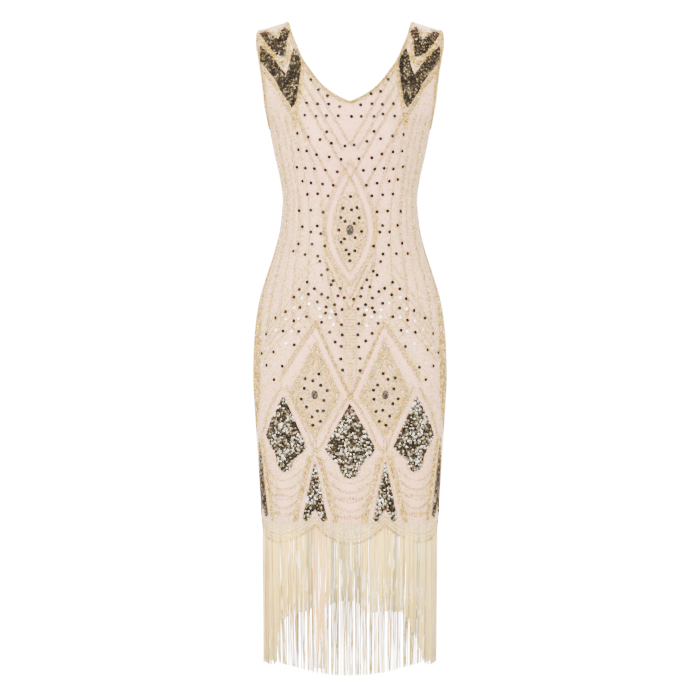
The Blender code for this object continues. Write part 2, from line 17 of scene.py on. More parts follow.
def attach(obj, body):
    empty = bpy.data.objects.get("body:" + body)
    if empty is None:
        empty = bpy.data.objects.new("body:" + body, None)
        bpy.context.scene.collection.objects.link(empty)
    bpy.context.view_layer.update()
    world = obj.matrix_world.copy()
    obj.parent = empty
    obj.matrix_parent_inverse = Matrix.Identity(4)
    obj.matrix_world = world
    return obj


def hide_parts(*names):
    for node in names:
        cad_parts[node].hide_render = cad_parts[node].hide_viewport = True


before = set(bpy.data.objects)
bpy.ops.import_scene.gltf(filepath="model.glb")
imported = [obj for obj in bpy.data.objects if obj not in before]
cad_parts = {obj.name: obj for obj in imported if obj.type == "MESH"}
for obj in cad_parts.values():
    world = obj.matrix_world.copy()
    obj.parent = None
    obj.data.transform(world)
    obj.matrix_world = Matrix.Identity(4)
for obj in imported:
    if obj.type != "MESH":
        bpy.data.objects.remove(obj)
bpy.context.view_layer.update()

# ---------------------------------------------------------------------------------------------
# Satin lining
# Blush polyester satin, a front and a back, sewn in along the neck and the armholes and hanging
# free inside the net, with a level turned hem. It is the first layer, so the form that every later
# layer lies on is worked out here: level sections of the filled-out dress, and its main creases.

# Columns: drop, half width, front, back, squareness, roundness.
STATIONS = (
    (0.000, 0.1605, 0.067, 0.058, 2.30, 1.15),
    (0.018, 0.1645, 0.068, 0.060, 2.30, 1.17),
    (0.040, 0.1645, 0.071, 0.065, 2.30, 1.20),
    (0.060, 0.1620, 0.077, 0.070, 2.30, 1.25),
    (0.092, 0.1570, 0.088, 0.077, 2.30, 1.35),
    (0.125, 0.1530, 0.099, 0.082, 2.30, 1.55),
    (0.157, 0.1500, 0.107, 0.084, 2.30, 1.80),
    (0.189, 0.1450, 0.112, 0.084, 2.30, 2.00),
    (0.236, 0.1360, 0.113, 0.081, 2.30, 2.00),
    (0.279, 0.1260, 0.105, 0.075, 2.30, 2.00),
    (0.322, 0.1206, 0.097, 0.071, 2.30, 2.00),
    (0.365, 0.1240, 0.096, 0.075, 2.30, 2.00),
    (0.409, 0.1340, 0.100, 0.087, 2.30, 2.00),
    (0.452, 0.1480, 0.105, 0.101, 2.30, 2.00),
    (0.495, 0.1610, 0.109, 0.112, 2.35, 2.00),
    (0.538, 0.1685, 0.113, 0.120, 2.35, 2.00),
    (0.581, 0.1720, 0.116, 0.125, 2.35, 2.00),
    (0.635, 0.1735, 0.118, 0.126, 2.35, 2.00),
    (0.689, 0.1710, 0.118, 0.124, 2.35, 2.00),
    (0.754, 0.1665, 0.117, 0.120, 2.35, 2.00),
    (0.819, 0.1625, 0.115, 0.116, 2.35, 2.00),
    (0.884, 0.1585, 0.113, 0.113, 2.35, 2.00),
    (0.940, 0.1560, 0.112, 0.112, 2.35, 2.00),
)
SHOULDER_ROUNDING = 0.060
SHOULDER_SLOPE, SHOULDER_SLOPE_REACH = 0.014, 0.120
STRAP_INNER, STRAP_OUTER = 0.1125, 0.1600
UNDERARM, ARMHOLE_CURVE_START = 0.189, 0.110
ARMHOLE_DEPTH = {"front": 0.052, "back": 0.050}
BUST_ACROSS, BUST_DROP, BUST_FULLNESS = 0.066, 0.222, 0.011
BUST_SPREAD_ACROSS, BUST_SPREAD_DOWN = 0.038, 0.046
NECKS = {
    "front": (
        (0.0000, 0.1162), (0.0025, 0.1133), (0.0070, 0.1111), (0.0280, 0.1050), (0.0505, 0.0960),
        (0.0742, 0.0861), (0.0970, 0.0711), (0.1222, 0.0520), (0.1360, 0.0360), (0.1481, 0.0170),
        (0.1555, 0.0000),
    ),
    "back": (
        (0.0000, 0.1162), (0.0025, 0.1135), (0.0070, 0.1115), (0.0300, 0.1065), (0.0600, 0.0975),
        (0.0900, 0.0840), (0.1200, 0.0655), (0.1440, 0.0455), (0.1640, 0.0230), (0.1780, 0.0000),
    ),
}

# The main creases: soft troughs (negative height) and ridges, each along a straight line on the
# cloth from its head to its foot and fading out at both ends. They differ from side to side.
# Columns: head along, head drop, foot along, foot drop, width, height.
CREASES = {
    "front": (
        (-0.172, 0.282, -0.088, 0.338, 0.0085, -0.0024),
        (-0.168, 0.318, -0.104, 0.351, 0.0065, -0.0016),
        (-0.170, 0.408, -0.092, 0.372, 0.0080, -0.0019),
        (0.170, 0.276, 0.096, 0.329, 0.0090, -0.0026),
        (0.166, 0.332, 0.110, 0.346, 0.0060, -0.0014),
        (0.174, 0.418, 0.086, 0.377, 0.0085, -0.0021),
        (-0.150, 0.208, -0.098, 0.258, 0.0075, -0.0014),
        (0.152, 0.204, 0.104, 0.246, 0.0070, -0.0012),
        (-0.188, 0.520, -0.118, 0.600, 0.0150, 0.0016),
        (0.186, 0.534, 0.128, 0.596, 0.0130, 0.0013),
        (-0.064, 0.760, -0.058, 0.935, 0.0120, -0.0028),
        (0.062, 0.776, 0.066, 0.935, 0.0110, -0.0023),
        (-0.108, 0.800, -0.112, 0.945, 0.0170, 0.0021),
        (0.112, 0.812, 0.106, 0.945, 0.0160, 0.0019),
        (0.004, 0.816, -0.006, 0.950, 0.0190, 0.0015),
        (-0.158, 0.730, -0.166, 0.920, 0.0100, -0.0016),
        (0.160, 0.748, 0.164, 0.920, 0.0090, -0.0014),
    ),
    "back": (
        (-0.150, 0.300, -0.030, 0.342, 0.0100, -0.0026),
        (0.148, 0.296, 0.022, 0.349, 0.0090, -0.0022),
        (-0.120, 0.350, -0.016, 0.372, 0.0080, -0.0018),
        (0.126, 0.362, 0.030, 0.381, 0.0070, -0.0015),
        (-0.086, 0.214, -0.110, 0.292, 0.0090, -0.0013),
        (0.092, 0.208, 0.108, 0.284, 0.0085, -0.0015),
        (-0.172, 0.520, -0.100, 0.582, 0.0140, 0.0014),
        (0.170, 0.508, 0.112, 0.588, 0.0130, 0.0016),
        (0.060, 0.772, 0.058, 0.935, 0.0110, -0.0026),
        (-0.063, 0.764, -0.066, 0.935, 0.0120, -0.0022),
        (0.110, 0.806, 0.114, 0.945, 0.0160, 0.0020),
        (-0.106, 0.800, -0.110, 0.945, 0.0170, 0.0017),
        (-0.002, 0.790, 0.006, 0.950, 0.0180, 0.0018),
    ),
}
CREASE_BOW, CREASE_FADE_POWER, CREASE_SEAM_FADE = 0.12, 0.8, 0.06

FORM_ACROSS, SECTION_POINTS, SHOULDER_ROWS = 101, 161, 31
OVER_THE_SHOULDER = SHOULDER_ROUNDING * (1.0 - np.cos(np.linspace(0.0, math.pi / 2, SHOULDER_ROWS)))
FORM_DROPS = np.concatenate([OVER_THE_SHOULDER[:-1], np.arange(SHOULDER_ROUNDING, 0.9481, 0.002)])


def unit(vectors):
    return vectors / np.linalg.norm(vectors, axis=-1, keepdims=True)


def points_of(*columns):
    """Points from their coordinates, each an array or a single number."""
    return np.stack(np.broadcast_arrays(*columns), axis=-1)


def lengths_along(points):
    """The length of a path from its first point to each of its points."""
    return np.append(0.0, np.cumsum(np.linalg.norm(np.diff(points, axis=0), axis=-1)))


def smooth_curve(xs, ys, at):
    """A monotone cubic through the points of xs and ys, read at given places."""
    xs, ys = np.array(xs), np.array(ys)
    at = np.clip(at, xs[0], xs[-1])
    steps = np.diff(xs)
    slopes = np.diff(ys) / steps
    tangents = np.zeros(len(xs))
    tangents[0] = slopes[0]
    tangents[-1] = slopes[-1]
    for i in range(1, len(xs) - 1):
        if slopes[i - 1] * slopes[i] > 0:
            before = 2 * steps[i] + steps[i - 1]
            after = steps[i] + 2 * steps[i - 1]
            tangents[i] = (before + after) / (before / slopes[i - 1] + after / slopes[i])
    i = np.clip(np.searchsorted(xs, at) - 1, 0, len(xs) - 2)
    t = (at - xs[i]) / steps[i]
    start = (1 + 2 * t) * (1 - t) ** 2 * ys[i] + t * t * (3 - 2 * t) * ys[i + 1]
    turn = t * (1 - t) ** 2 * tangents[i] - t * t * (1 - t) * tangents[i + 1]
    return start + turn * steps[i]


def quarter_round(share):
    """0 at 0 and 1 from 1 on, along a quarter of a circle."""
    return math.sqrt(1.0 - (1.0 - min(max(share, 0.0), 1.0)) ** 2)


def level_section(side, drop):
    """Half of the dress's level section at a drop: across and depth from the centre to the side."""
    drops, *columns = np.array(STATIONS).T
    width, front, back, square, rounded = (float(smooth_curve(drops, column, drop)) for column in columns)
    depth = front if side == "front" else back
    armhole = quarter_round((UNDERARM - drop) / (UNDERARM - ARMHOLE_CURVE_START))
    edge = ARMHOLE_DEPTH[side] * armhole / depth
    turn = np.linspace(0.0, math.acos(edge ** (rounded / 2)), SECTION_POINTS)
    across = width * (np.sin(turn) / math.sin(turn[-1])) ** (2 / square)
    falling = np.clip(np.cos(turn), 0.0, 1.0) ** (2 / rounded)
    deep = depth * quarter_round(drop / SHOULDER_ROUNDING) * falling
    if side == "front":
        beside = (across - BUST_ACROSS) / BUST_SPREAD_ACROSS
        below = (drop - BUST_DROP) / BUST_SPREAD_DOWN
        deep = deep + BUST_FULLNESS * np.exp(-beside**2 - below**2) * falling
    return across, deep


def crease_height(side, along, drop):
    """How far the creases move the cloth outwards at places on it."""
    height = np.zeros(np.broadcast(along, drop).shape)
    for head_along, head_drop, foot_along, foot_drop, width, rise in CREASES[side]:
        run = np.array((foot_along - head_along, foot_drop - head_drop))
        length = np.hypot(*run)
        run = run / length
        down = ((along - head_along) * run[0] + (drop - head_drop) * run[1]) / length
        aside = (along - head_along) * run[1] - (drop - head_drop) * run[0]
        bow = CREASE_BOW * length * (down - 0.5) ** 2
        fade = np.clip(1.0 - (2.0 * down - 1.0) ** 2, 0.0, 1.0) ** CREASE_FADE_POWER
        height += rise * fade * np.exp(-(((aside - bow) / width) ** 2))
    return height


def normals_of(points):
    """Outward normals of a grid of points round the dress."""
    normal = np.cross(np.gradient(points, axis=0), np.gradient(points, axis=1))
    normal *= np.sign(np.sum(normal * (points * (1, 1, 0) + (0, 0, 1e-6)), axis=-1))[..., None]
    return unit(normal)


def form_grid(side):
    """Points, outward normals and half girths of one side of the dress, row by row."""
    facing = -1.0 if side == "front" else 1.0
    rows = []
    girths = []
    for drop in FORM_DROPS:
        across, deep = level_section(side, float(drop))
        length = lengths_along(points_of(across, deep))
        even = np.linspace(0.0, length[-1], FORM_ACROSS)
        x = np.interp(even, length, across)
        over = np.clip((x - STRAP_INNER) / (STRAP_OUTER - STRAP_INNER), 0.0, 1.0)
        fade = max(0.0, 1.0 - drop / SHOULDER_SLOPE_REACH) ** 2
        y = np.interp(even, length, deep) * facing
        rows.append(points_of(x, y, -drop - SHOULDER_SLOPE * over * fade))
        girths.append(length[-1])
    half = np.array(rows)
    girths = np.array(girths)
    whole = np.concatenate([half[:, :0:-1] * (-1.0, 1.0, 1.0), half], axis=1)
    places = np.linspace(-1.0, 1.0, whole.shape[1])[None, :]
    edges = np.clip((1.0 - np.abs(places)) / CREASE_SEAM_FADE, 0.0, 1.0)
    height = crease_height(side, places * girths[:, None], FORM_DROPS[:, None]) * edges
    whole = whole + normals_of(whole) * height[..., None]
    normal = normals_of(whole)
    for column in (0, -1):
        normal[FORM_DROPS >= UNDERARM, column, 1] = 0.0
    return {"points": whole, "normals": unit(normal), "girths": girths}


FORM = {side: form_grid(side) for side in ("front", "back")}
# The length of the cloth from the shoulder down to each row of the form, over the middle of a strap.
STRAP_COLUMN = int(FORM_ACROSS * 1.75)
CLOTH_LENGTHS = {side: lengths_along(FORM[side]["points"][:, STRAP_COLUMN]) for side in FORM}


def half_girth(side, drop):
    return np.interp(drop, FORM_DROPS, FORM[side]["girths"])


def on_form(side, along, drop, what):
    """The form's points or normals at places on the cloth, between the nearest rows and columns."""
    along, drop = np.broadcast_arrays(np.asarray(along, float), np.asarray(drop, float))
    grid = FORM[side][what]
    row = np.interp(drop, FORM_DROPS, np.arange(len(FORM_DROPS)))
    row = np.clip(row, 0.0, grid.shape[0] - 1.001)
    column = (np.clip(along / half_girth(side, drop), -1.0, 1.0) + 1.0) / 2.0 * (grid.shape[1] - 1)
    column = np.clip(column, 0.0, grid.shape[1] - 1.001)
    r = row.astype(int)
    c = column.astype(int)
    down = (row - r)[..., None]
    aside = (column - c)[..., None]
    upper = grid[r, c] * (1 - aside) + grid[r, c + 1] * aside
    lower = grid[r + 1, c] * (1 - aside) + grid[r + 1, c + 1] * aside
    return upper * (1 - down) + lower * down


def outward(side, along, drop):
    return unit(on_form(side, along, drop, "normals"))


def place(side, along, drop, lift=0.0):
    """Points at places on the cloth, lifted off the net's outer face."""
    return on_form(side, along, drop, "points") + outward(side, along, drop) * np.asarray(lift)[..., None]


def along_at(side, drop, across):
    """The place along the cloth of the point that lies so far across, for each drop."""
    points = FORM[side]["points"]
    middle = points.shape[1] // 2
    shares = np.linspace(0.0, 1.0, points.shape[1] - middle)
    rows = np.rint(np.interp(drop, FORM_DROPS, np.arange(len(FORM_DROPS)))).astype(int)
    found = [np.interp(abs(x), points[row, middle:, 0], shares) for row, x in zip(rows, across)]
    return np.sign(across) * np.array(found) * half_girth(side, drop)


NECK_LINE = {
    side: along_at(side, FORM_DROPS, smooth_curve(*np.array(NECKS[side]).T, FORM_DROPS)) for side in FORM
}


def neck_along(side, drop):
    """How far along the cloth the neck's edge lies at each drop, and 0 below its point."""
    return np.where(drop < NECKS[side][-1][0], np.interp(drop, FORM_DROPS, NECK_LINE[side]), 0.0)


def add_object(name, data):
    made = bpy.data.objects.new(name, data)
    bpy.context.scene.collection.objects.link(made)
    return made


def add_piece(name, points, faces, material):
    """An object from arrays of points and of faces that all have as many corners."""
    mesh = bpy.data.meshes.new(name)
    mesh.vertices.add(len(points))
    mesh.vertices.foreach_set("co", np.asarray(points, np.float32).ravel())
    mesh.loops.add(faces.size)
    mesh.loops.foreach_set("vertex_index", faces.astype(np.int32).ravel())
    mesh.polygons.add(len(faces))
    mesh.polygons.foreach_set("loop_start", np.arange(0, faces.size, faces.shape[1], dtype=np.int32))
    mesh.update(calc_edges=True)
    mesh.materials.append(material)
    piece = add_object(name, mesh)
    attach(piece, "root")
    return piece


def cloth_panel(name, side, drops, columns, hem, lift, thickness, material):
    """A panel of cloth as a thin closed wall, its UV map holding lengths on the cloth in metres.

    hem gives how much further each place of a row hangs, from its share of the half girth.
    """
    point = NECKS[side][-1][0]
    drops = np.concatenate([OVER_THE_SHOULDER[::2], drops])
    for exact in (point, UNDERARM):
        drops[np.argmin(np.abs(drops - exact))] = exact
    shares = np.linspace(0.0, 1.0, columns)[None, :]
    inner = neck_along(side, drops)[:, None]
    along = inner + (half_girth(side, drops)[:, None] - inner) * shares
    drop = np.broadcast_to(drops[:, None] + hem(shares, drops[:, None]), along.shape)
    along = np.concatenate([-along[:, ::-1], along], axis=1)
    drop = np.concatenate([drop[:, ::-1], drop], axis=1)
    points = place(side, along, drop, lift(side, along, drop))
    number = np.arange(along.size).reshape(along.shape)
    open_rows = int(np.sum(drops < point))
    number[open_rows:, columns] = number[open_rows:, columns - 1]
    quads = np.stack([number[:-1, :-1], number[1:, :-1], number[1:, 1:], number[:-1, 1:]], axis=-1)
    quads = np.delete(quads, columns - 1, axis=1).reshape(-1, 4)
    if side == "back":
        quads = quads[:, ::-1]
    keep, quads = np.unique(quads, return_inverse=True)
    quads = quads.reshape(-1, 4)
    panel = add_piece(name, points.reshape(-1, 3)[keep], quads, material)
    lengths = np.interp(drop.ravel()[keep], FORM_DROPS, CLOTH_LENGTHS[side])
    corners = points_of(along.ravel()[keep], lengths)[quads.ravel()]
    panel.data.uv_layers.new(name="cloth").data.foreach_set("uv", corners.astype(np.float32).ravel())
    panel.data.shade_smooth()
    wall = panel.modifiers.new("cloth thickness", "SOLIDIFY")
    wall.thickness = thickness
    wall.offset = -1.0
    return panel


def new_material(name):
    made = bpy.data.materials.new(name)
    made.use_nodes = True
    return made, made.node_tree, made.node_tree.nodes["Principled BSDF"]


def set_inputs(tree, node, **values):
    """Sets a node's inputs to plain values or links them, by name or by number, as in i0 and i1."""
    for key, value in values.items():
        number = key[1:] if key[0] == "i" else ""
        socket = node.inputs[int(number) if number.isdigit() else key.replace("_", " ")]
        if isinstance(value, bpy.types.NodeSocket):
            tree.links.new(value, socket)
        else:
            socket.default_value = value


def add_node(tree, kind, settings=None, **values):
    """A shader node with settings on it and its inputs set."""
    node = tree.nodes.new("ShaderNode" + kind)
    for key, value in (settings or {}).items():
        setattr(node, key, value)
    set_inputs(tree, node, **values)
    return node


def calc(tree, operation, a, b):
    return add_node(tree, "Math", {"operation": operation}, i0=a, i1=b).outputs[0]


def spread(tree, value, low, high, to_low, to_high):
    """A value taken from the range low to high onto the range to_low to to_high."""
    return add_node(tree, "MapRange", i0=value, i1=low, i2=high, i3=to_low, i4=to_high).outputs[0]


def mixed(tree, share, a, b):
    """Colour a, and b as far as the share goes."""
    return add_node(tree, "Mix", {"data_type": "RGBA"}, i0=share, i6=a, i7=b).outputs[2]


def noise_of(tree, scale, detail):
    """Cloudy noise in the object's own coordinates."""
    where = add_node(tree, "TexCoord").outputs["Object"]
    return add_node(tree, "TexNoise", Vector=where, Scale=scale, Detail=detail).outputs["Fac"]


def bumped(tree, height, strength, distance):
    return add_node(tree, "Bump", Height=height, Strength=strength, Distance=distance).outputs[0]


def uneven_tone_group():
    """Colour that drifts a little over the cloth, as dye, handling and light dust leave it."""
    group = bpy.data.node_groups.new("Uneven Tone", "ShaderNodeTree")
    for label, kind, value in (
        ("Colour", "NodeSocketColor", (1, 1, 1, 1)),
        ("Faded Colour", "NodeSocketColor", (1, 1, 1, 1)),
        ("Patch Size", "NodeSocketFloat", 0.08),
        ("Amount", "NodeSocketFloat", 0.5),
    ):
        socket = group.interface.new_socket(name=label, in_out="INPUT", socket_type=kind)
        socket.default_value = value
    for label, kind in (("Colour", "NodeSocketColor"), ("Mask", "NodeSocketFloat")):
        group.interface.new_socket(name=label, in_out="OUTPUT", socket_type=kind)
    given = group.nodes.new("NodeGroupInput").outputs
    patches = noise_of(group, calc(group, "DIVIDE", 1.0, given["Patch Size"]), 3.0)
    amount = calc(group, "MULTIPLY", spread(group, patches, 0.35, 0.68, 0.0, 1.0), given["Amount"])
    colour = mixed(group, amount, given["Colour"], given["Faded Colour"])
    set_inputs(group, group.nodes.new("NodeGroupOutput"), Colour=colour, Mask=amount)
    return group


UNEVEN_TONE = uneven_tone_group()


def uneven(tree, colour, faded, patch_size, amount):
    """The outputs of the Uneven Tone group: its colour, and its mask of how faded each place is."""
    return add_node(
        tree, "Group", {"node_tree": UNEVEN_TONE},
        Colour=colour, Faded_Colour=faded, Patch_Size=patch_size, Amount=amount,
    ).outputs


SATIN_COLOUR = (0.970, 0.435, 0.335, 1.0)
SATIN_FADED = (0.975, 0.500, 0.410, 1.0)
SATIN_FLOAT_WIDTH, SATIN_FLOAT_LENGTH = 0.00022, 0.0030


def satin_material():
    made, tree, shader = new_material("blush satin")
    cloth = add_node(tree, "UVMap", {"uv_map": "cloth"}).outputs[0]
    scale = (1 / SATIN_FLOAT_WIDTH, 1 / SATIN_FLOAT_LENGTH, 1.0)
    floats = add_node(tree, "Mapping", Vector=cloth, Scale=scale).outputs[0]
    yarn = add_node(tree, "TexNoise", {"noise_dimensions": "2D"}, Vector=floats, Scale=1.0).outputs["Fac"]
    set_inputs(
        tree, shader,
        Base_Color=uneven(tree, SATIN_COLOUR, SATIN_FADED, 0.11, 0.6)["Colour"],
        Roughness=spread(tree, yarn, 0.3, 0.7, 0.34, 0.50),
        Normal=bumped(tree, yarn, 0.25, 0.00012),
        Sheen_Weight=0.25,
        Sheen_Roughness=0.35,
    )
    return made


LINING_THICKNESS = 0.0005
LINING_EDGE_LIFT, LINING_HANGING_LIFT = -0.0007, -0.0016
LINING_EDGE_REACH, LINING_SHOULDER_REACH = 0.030, 0.004
LINING_HEM_DROP = 0.8960
LINING_ACROSS = 36


def level(*places):
    """Neither a curve of the hem nor a lift."""
    return 0.0


def lining_lift(side, along, drop):
    """Close under the net at the lining's sewn edges, a little further in where it hangs free."""
    neck = np.abs(np.abs(along) - neck_along(side, drop)) + (drop > NECKS[side][-1][0])
    arm = half_girth(side, drop) - np.abs(along) + (drop > UNDERARM)
    nearest = np.minimum(np.minimum(neck, arm), drop + LINING_SHOULDER_REACH)
    share = np.clip(nearest / LINING_EDGE_REACH, 0.0, 1.0)
    share = share * share * (3 - 2 * share)
    return LINING_EDGE_LIFT + (LINING_HANGING_LIFT - LINING_EDGE_LIFT) * share


satin = satin_material()
lining_rows = np.concatenate([np.linspace(0.066, 0.198, 48), np.linspace(0.208, LINING_HEM_DROP, 54)])
for side in ("front", "back"):
    lining = cloth_panel(
        f"satin_lining_{side}", side, lining_rows, LINING_ACROSS, level, lining_lift,
        LINING_THICKNESS, satin,
    )
    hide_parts(f"lining_{side}")

# ---------------------------------------------------------------------------------------------
# Net shell
# Champagne tulle, a front and a back joined at the side seams and on the shoulders, with three
# scallops at the foot of each. It carries all of the beading, sequins and fringe, and the tiniest
# beads are part of its finish: they stand closest together beside the sewn bead lines.

SCALLOP_POINT_DROP, SCALLOP_HEIGHT, SCALLOP_POINT_SHARE, SCALLOP_FADE = 0.8975, 0.033, 0.285, 0.090
NET_THICKNESS, NET_ACROSS, NET_ROWS = 0.0003, 46, 180
NET_PITCH, NET_THREAD, NET_MESH_STRETCH = 0.0013, 0.17, 1.5
TINY_BEAD_PITCH, TINY_BEAD_RADIUS = 0.0021, 0.42
TULLE_COLOUR = (0.830, 0.540, 0.310, 1.0)
TULLE_FADED = (0.870, 0.600, 0.370, 1.0)
TINY_BEAD_PALE = (0.800, 0.585, 0.125, 1.0)
TINY_BEAD_DEEP = (0.260, 0.170, 0.016, 1.0)


def scallop(share):
    """How far the hem hangs below the scallop points, at a share of the way to the side seam."""
    centre = 0.5 + 0.5 * share / SCALLOP_POINT_SHARE
    outer = (share - SCALLOP_POINT_SHARE) / (1.0 - SCALLOP_POINT_SHARE)
    t = np.where(share < SCALLOP_POINT_SHARE, centre, outer)
    return SCALLOP_HEIGHT * 4.0 * t * (1.0 - t)


def scalloped_hem(share, drop):
    fade = np.clip(1.0 - (SCALLOP_POINT_DROP - drop) / SCALLOP_FADE, 0.0, 1.0)
    return scallop(share) * fade * fade


def tulle_material():
    made, tree, shader = new_material("champagne tulle")
    cloth = add_node(tree, "UVMap", {"uv_map": "cloth"}).outputs[0]
    apart = add_node(tree, "SeparateXYZ", i0=cloth).outputs
    across = calc(tree, "DIVIDE", apart[0], NET_PITCH)
    down = calc(tree, "DIVIDE", apart[1], NET_PITCH * NET_MESH_STRETCH)
    strands = []
    for operation in ("ADD", "SUBTRACT"):
        fold = calc(tree, "PINGPONG", calc(tree, operation, across, down), 0.5)
        strands.append(calc(tree, "LESS_THAN", fold, NET_THREAD / 2))
    beads = add_node(
        tree, "TexVoronoi", {"voronoi_dimensions": "2D"},
        Vector=cloth, Scale=1 / TINY_BEAD_PITCH, Randomness=0.7,
    ).outputs
    chance = add_node(tree, "SeparateColor", i0=beads["Color"]).outputs
    beading = add_node(tree, "Attribute", {"attribute_name": "beading"}).outputs["Fac"]
    chosen = calc(tree, "LESS_THAN", chance[0], beading)
    bead = calc(tree, "MULTIPLY", chosen, calc(tree, "LESS_THAN", beads["Distance"], TINY_BEAD_RADIUS))
    bead_tone = mixed(tree, chance[1], TINY_BEAD_PALE, TINY_BEAD_DEEP)
    dome = spread(tree, beads["Distance"], 0.0, TINY_BEAD_RADIUS, 1.0, 0.0)
    thread_tone = uneven(tree, TULLE_COLOUR, TULLE_FADED, 0.07, 0.8)["Colour"]
    set_inputs(
        tree, shader,
        Base_Color=mixed(tree, bead, thread_tone, bead_tone),
        Alpha=calc(tree, "MAXIMUM", calc(tree, "MAXIMUM", *strands), bead),
        Roughness=spread(tree, bead, 0.0, 1.0, 0.62, 0.26),
        Normal=bumped(tree, calc(tree, "MULTIPLY", dome, bead), 0.8, 0.0006),
    )
    return made


tulle = tulle_material()
net_rows = np.linspace(0.0645, SCALLOP_POINT_DROP, NET_ROWS)
net_panels = {}
for side in ("front", "back"):
    net_panels[side] = cloth_panel(
        f"net_shell_{side}", side, net_rows, NET_ACROSS, scalloped_hem, level, NET_THICKNESS, tulle
    )
    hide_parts(f"net_{side}")

# ---------------------------------------------------------------------------------------------
# Single sequins
# Cupped 6.5 mm sequins, each held flat to the net by a small bead in its middle: gunmetal ones in
# staggered rows over the bodice and hips, clear silver ones scattered among them on the hips.

DOT_SIZE, DOT_BEAD_SIZE, DOT_LIFT, DOT_BEAD_LIFT = 0.0065, 0.0015, 0.0010, 0.0012
DOT_APART, DOT_STRAY, DOT_LEAN, DOT_MARGIN = 0.0080, 0.0013, 0.07, 0.005
CLEAR_DOT_SHARE, CLEAR_DOT_SHIFT = 0.85, (0.006, 0.009)
BEAD_BASE, BEAD_TABLE, BEAD_TABLE_RADIUS = -0.15, 0.38, 0.27
# Columns: drop at centre, first along, pitch, count each side, rise.
DOT_ROWS = {
    "front": (
        (0.1130, 0.0690, 0.0190, 1, 0.00), (0.1340, 0.0555, 0.0190, 1, 0.00),
        (0.1420, 0.0386, 0.0180, 1, 0.00), (0.1620, 0.0175, 0.0195, 4, 0.08),
        (0.1810, 0.0000, 0.0198, 5, 0.05), (0.2070, 0.0420, 0.0190, 1, 0.00),
        (0.2345, 0.0080, 0.0225, 5, 0.26), (0.2580, 0.0160, 0.0205, 5, 0.20),
        (0.2800, 0.0238, 0.0190, 5, 0.14), (0.3020, 0.0290, 0.0200, 4, 0.13),
        (0.3240, 0.0400, 0.0190, 3, 0.13), (0.3480, 0.0480, 0.0225, 3, 0.05),
        (0.3700, 0.0570, 0.0300, 2, 0.00), (0.3880, 0.0510, 0.0190, 3, 0.10),
        (0.4120, 0.0430, 0.0260, 3, 0.10), (0.4280, 0.0570, 0.0250, 3, 0.10),
    ),
    "back": (
        (0.1330, 0.0690, 0.0190, 1, 0.00), (0.1560, 0.0500, 0.0190, 2, 0.00),
        (0.1800, 0.0370, 0.0195, 3, 0.04), (0.2030, 0.0100, 0.0198, 5, 0.06),
        (0.2270, 0.0000, 0.0210, 6, 0.12), (0.2500, 0.0110, 0.0225, 5, 0.18),
        (0.2720, 0.0000, 0.0205, 6, 0.16), (0.2930, 0.0270, 0.0190, 4, 0.14),
        (0.3150, 0.0360, 0.0200, 4, 0.12), (0.3380, 0.0450, 0.0190, 3, 0.10),
        (0.3600, 0.0520, 0.0225, 3, 0.05), (0.3820, 0.0570, 0.0300, 2, 0.00),
        (0.4020, 0.0500, 0.0190, 3, 0.10), (0.4220, 0.0430, 0.0260, 3, 0.10),
    ),
}
# Sequins inside the waist lozenge, beside the centre line or on it. Columns: along, drop.
LOZENGE_DOTS = (
    (0.0000, 0.3150), (0.0000, 0.3270), (0.0120, 0.3400), (0.0000, 0.3430), (0.0150, 0.3570),
    (0.0085, 0.3650), (0.0200, 0.3785), (0.0085, 0.3925), (0.0145, 0.4000), (0.0090, 0.4135),
    (0.0000, 0.4220), (0.0000, 0.4340),
)
# Columns: from along, from drop, to along, to drop, count, clear between.
HIP_DOTS = (
    (0.0080, 0.4980, 0.0640, 0.4180, 6, 0), (0.0200, 0.4960, 0.0480, 0.4560, 3, 0),
    (0.0135, 0.5190, 0.0760, 0.4700, 6, 3), (0.0240, 0.5270, 0.0900, 0.4820, 5, 4),
    (0.0150, 0.5440, 0.0560, 0.5130, 4, 2), (0.0145, 0.5640, 0.0165, 0.6230, 4, 0),
    (0.0270, 0.5740, 0.0500, 0.5420, 3, 0),
    (0.0760, 0.5320, 0.1000, 0.4980, 3, 2), (0.0900, 0.5560, 0.1160, 0.5190, 3, 2),
    (0.1000, 0.5820, 0.1400, 0.5320, 3, 2), (0.1250, 0.6180, 0.1600, 0.5620, 3, 2),
    (0.1420, 0.6400, 0.1760, 0.5940, 3, 2),
)
# A ring of sequins round each hip lozenge's stone, alternately nearer and further, and three below.
HIP_STONE = (0.0620, 0.6710)
HIP_RING_COUNT, HIP_RING_REACH = 12, (0.0200, 0.0340)
HIP_RING_NEAR, HIP_RING_FAR = (0.9, 0.8), (1.15, 1.15)
BELOW_HIP_RING = ((0.0, 0.0540), (0.010, 0.0440), (-0.010, 0.0440))

# The skirt's figures follow cross lines that rise from the centre towards the side seams.
SIDE_RISE, SIDE_RISE_AT, SIDE_RISE_FADE = 0.036, 0.200, 0.110


def on_skirt(along, drop):
    fade = np.clip((SCALLOP_POINT_DROP - drop) / SIDE_RISE_FADE, 0.0, 1.0)
    return along, drop - SIDE_RISE * (along / SIDE_RISE_AT) ** 2 * fade


def on_cloth(side, along, drop, margin):
    """Which places lie on the net, clear of its edges by a margin."""
    aside = np.abs(along)
    inside = aside <= half_girth(side, drop) - margin
    neck = NECKS[side][-1][0]
    inside &= (drop > neck + margin) | (aside >= neck_along(side, np.minimum(drop, neck)) + margin)
    hem = SCALLOP_POINT_DROP + scallop(np.clip(aside / half_girth(side, drop), 0.0, 1.0))
    return inside & (drop <= hem - margin) & (drop >= 0.0)


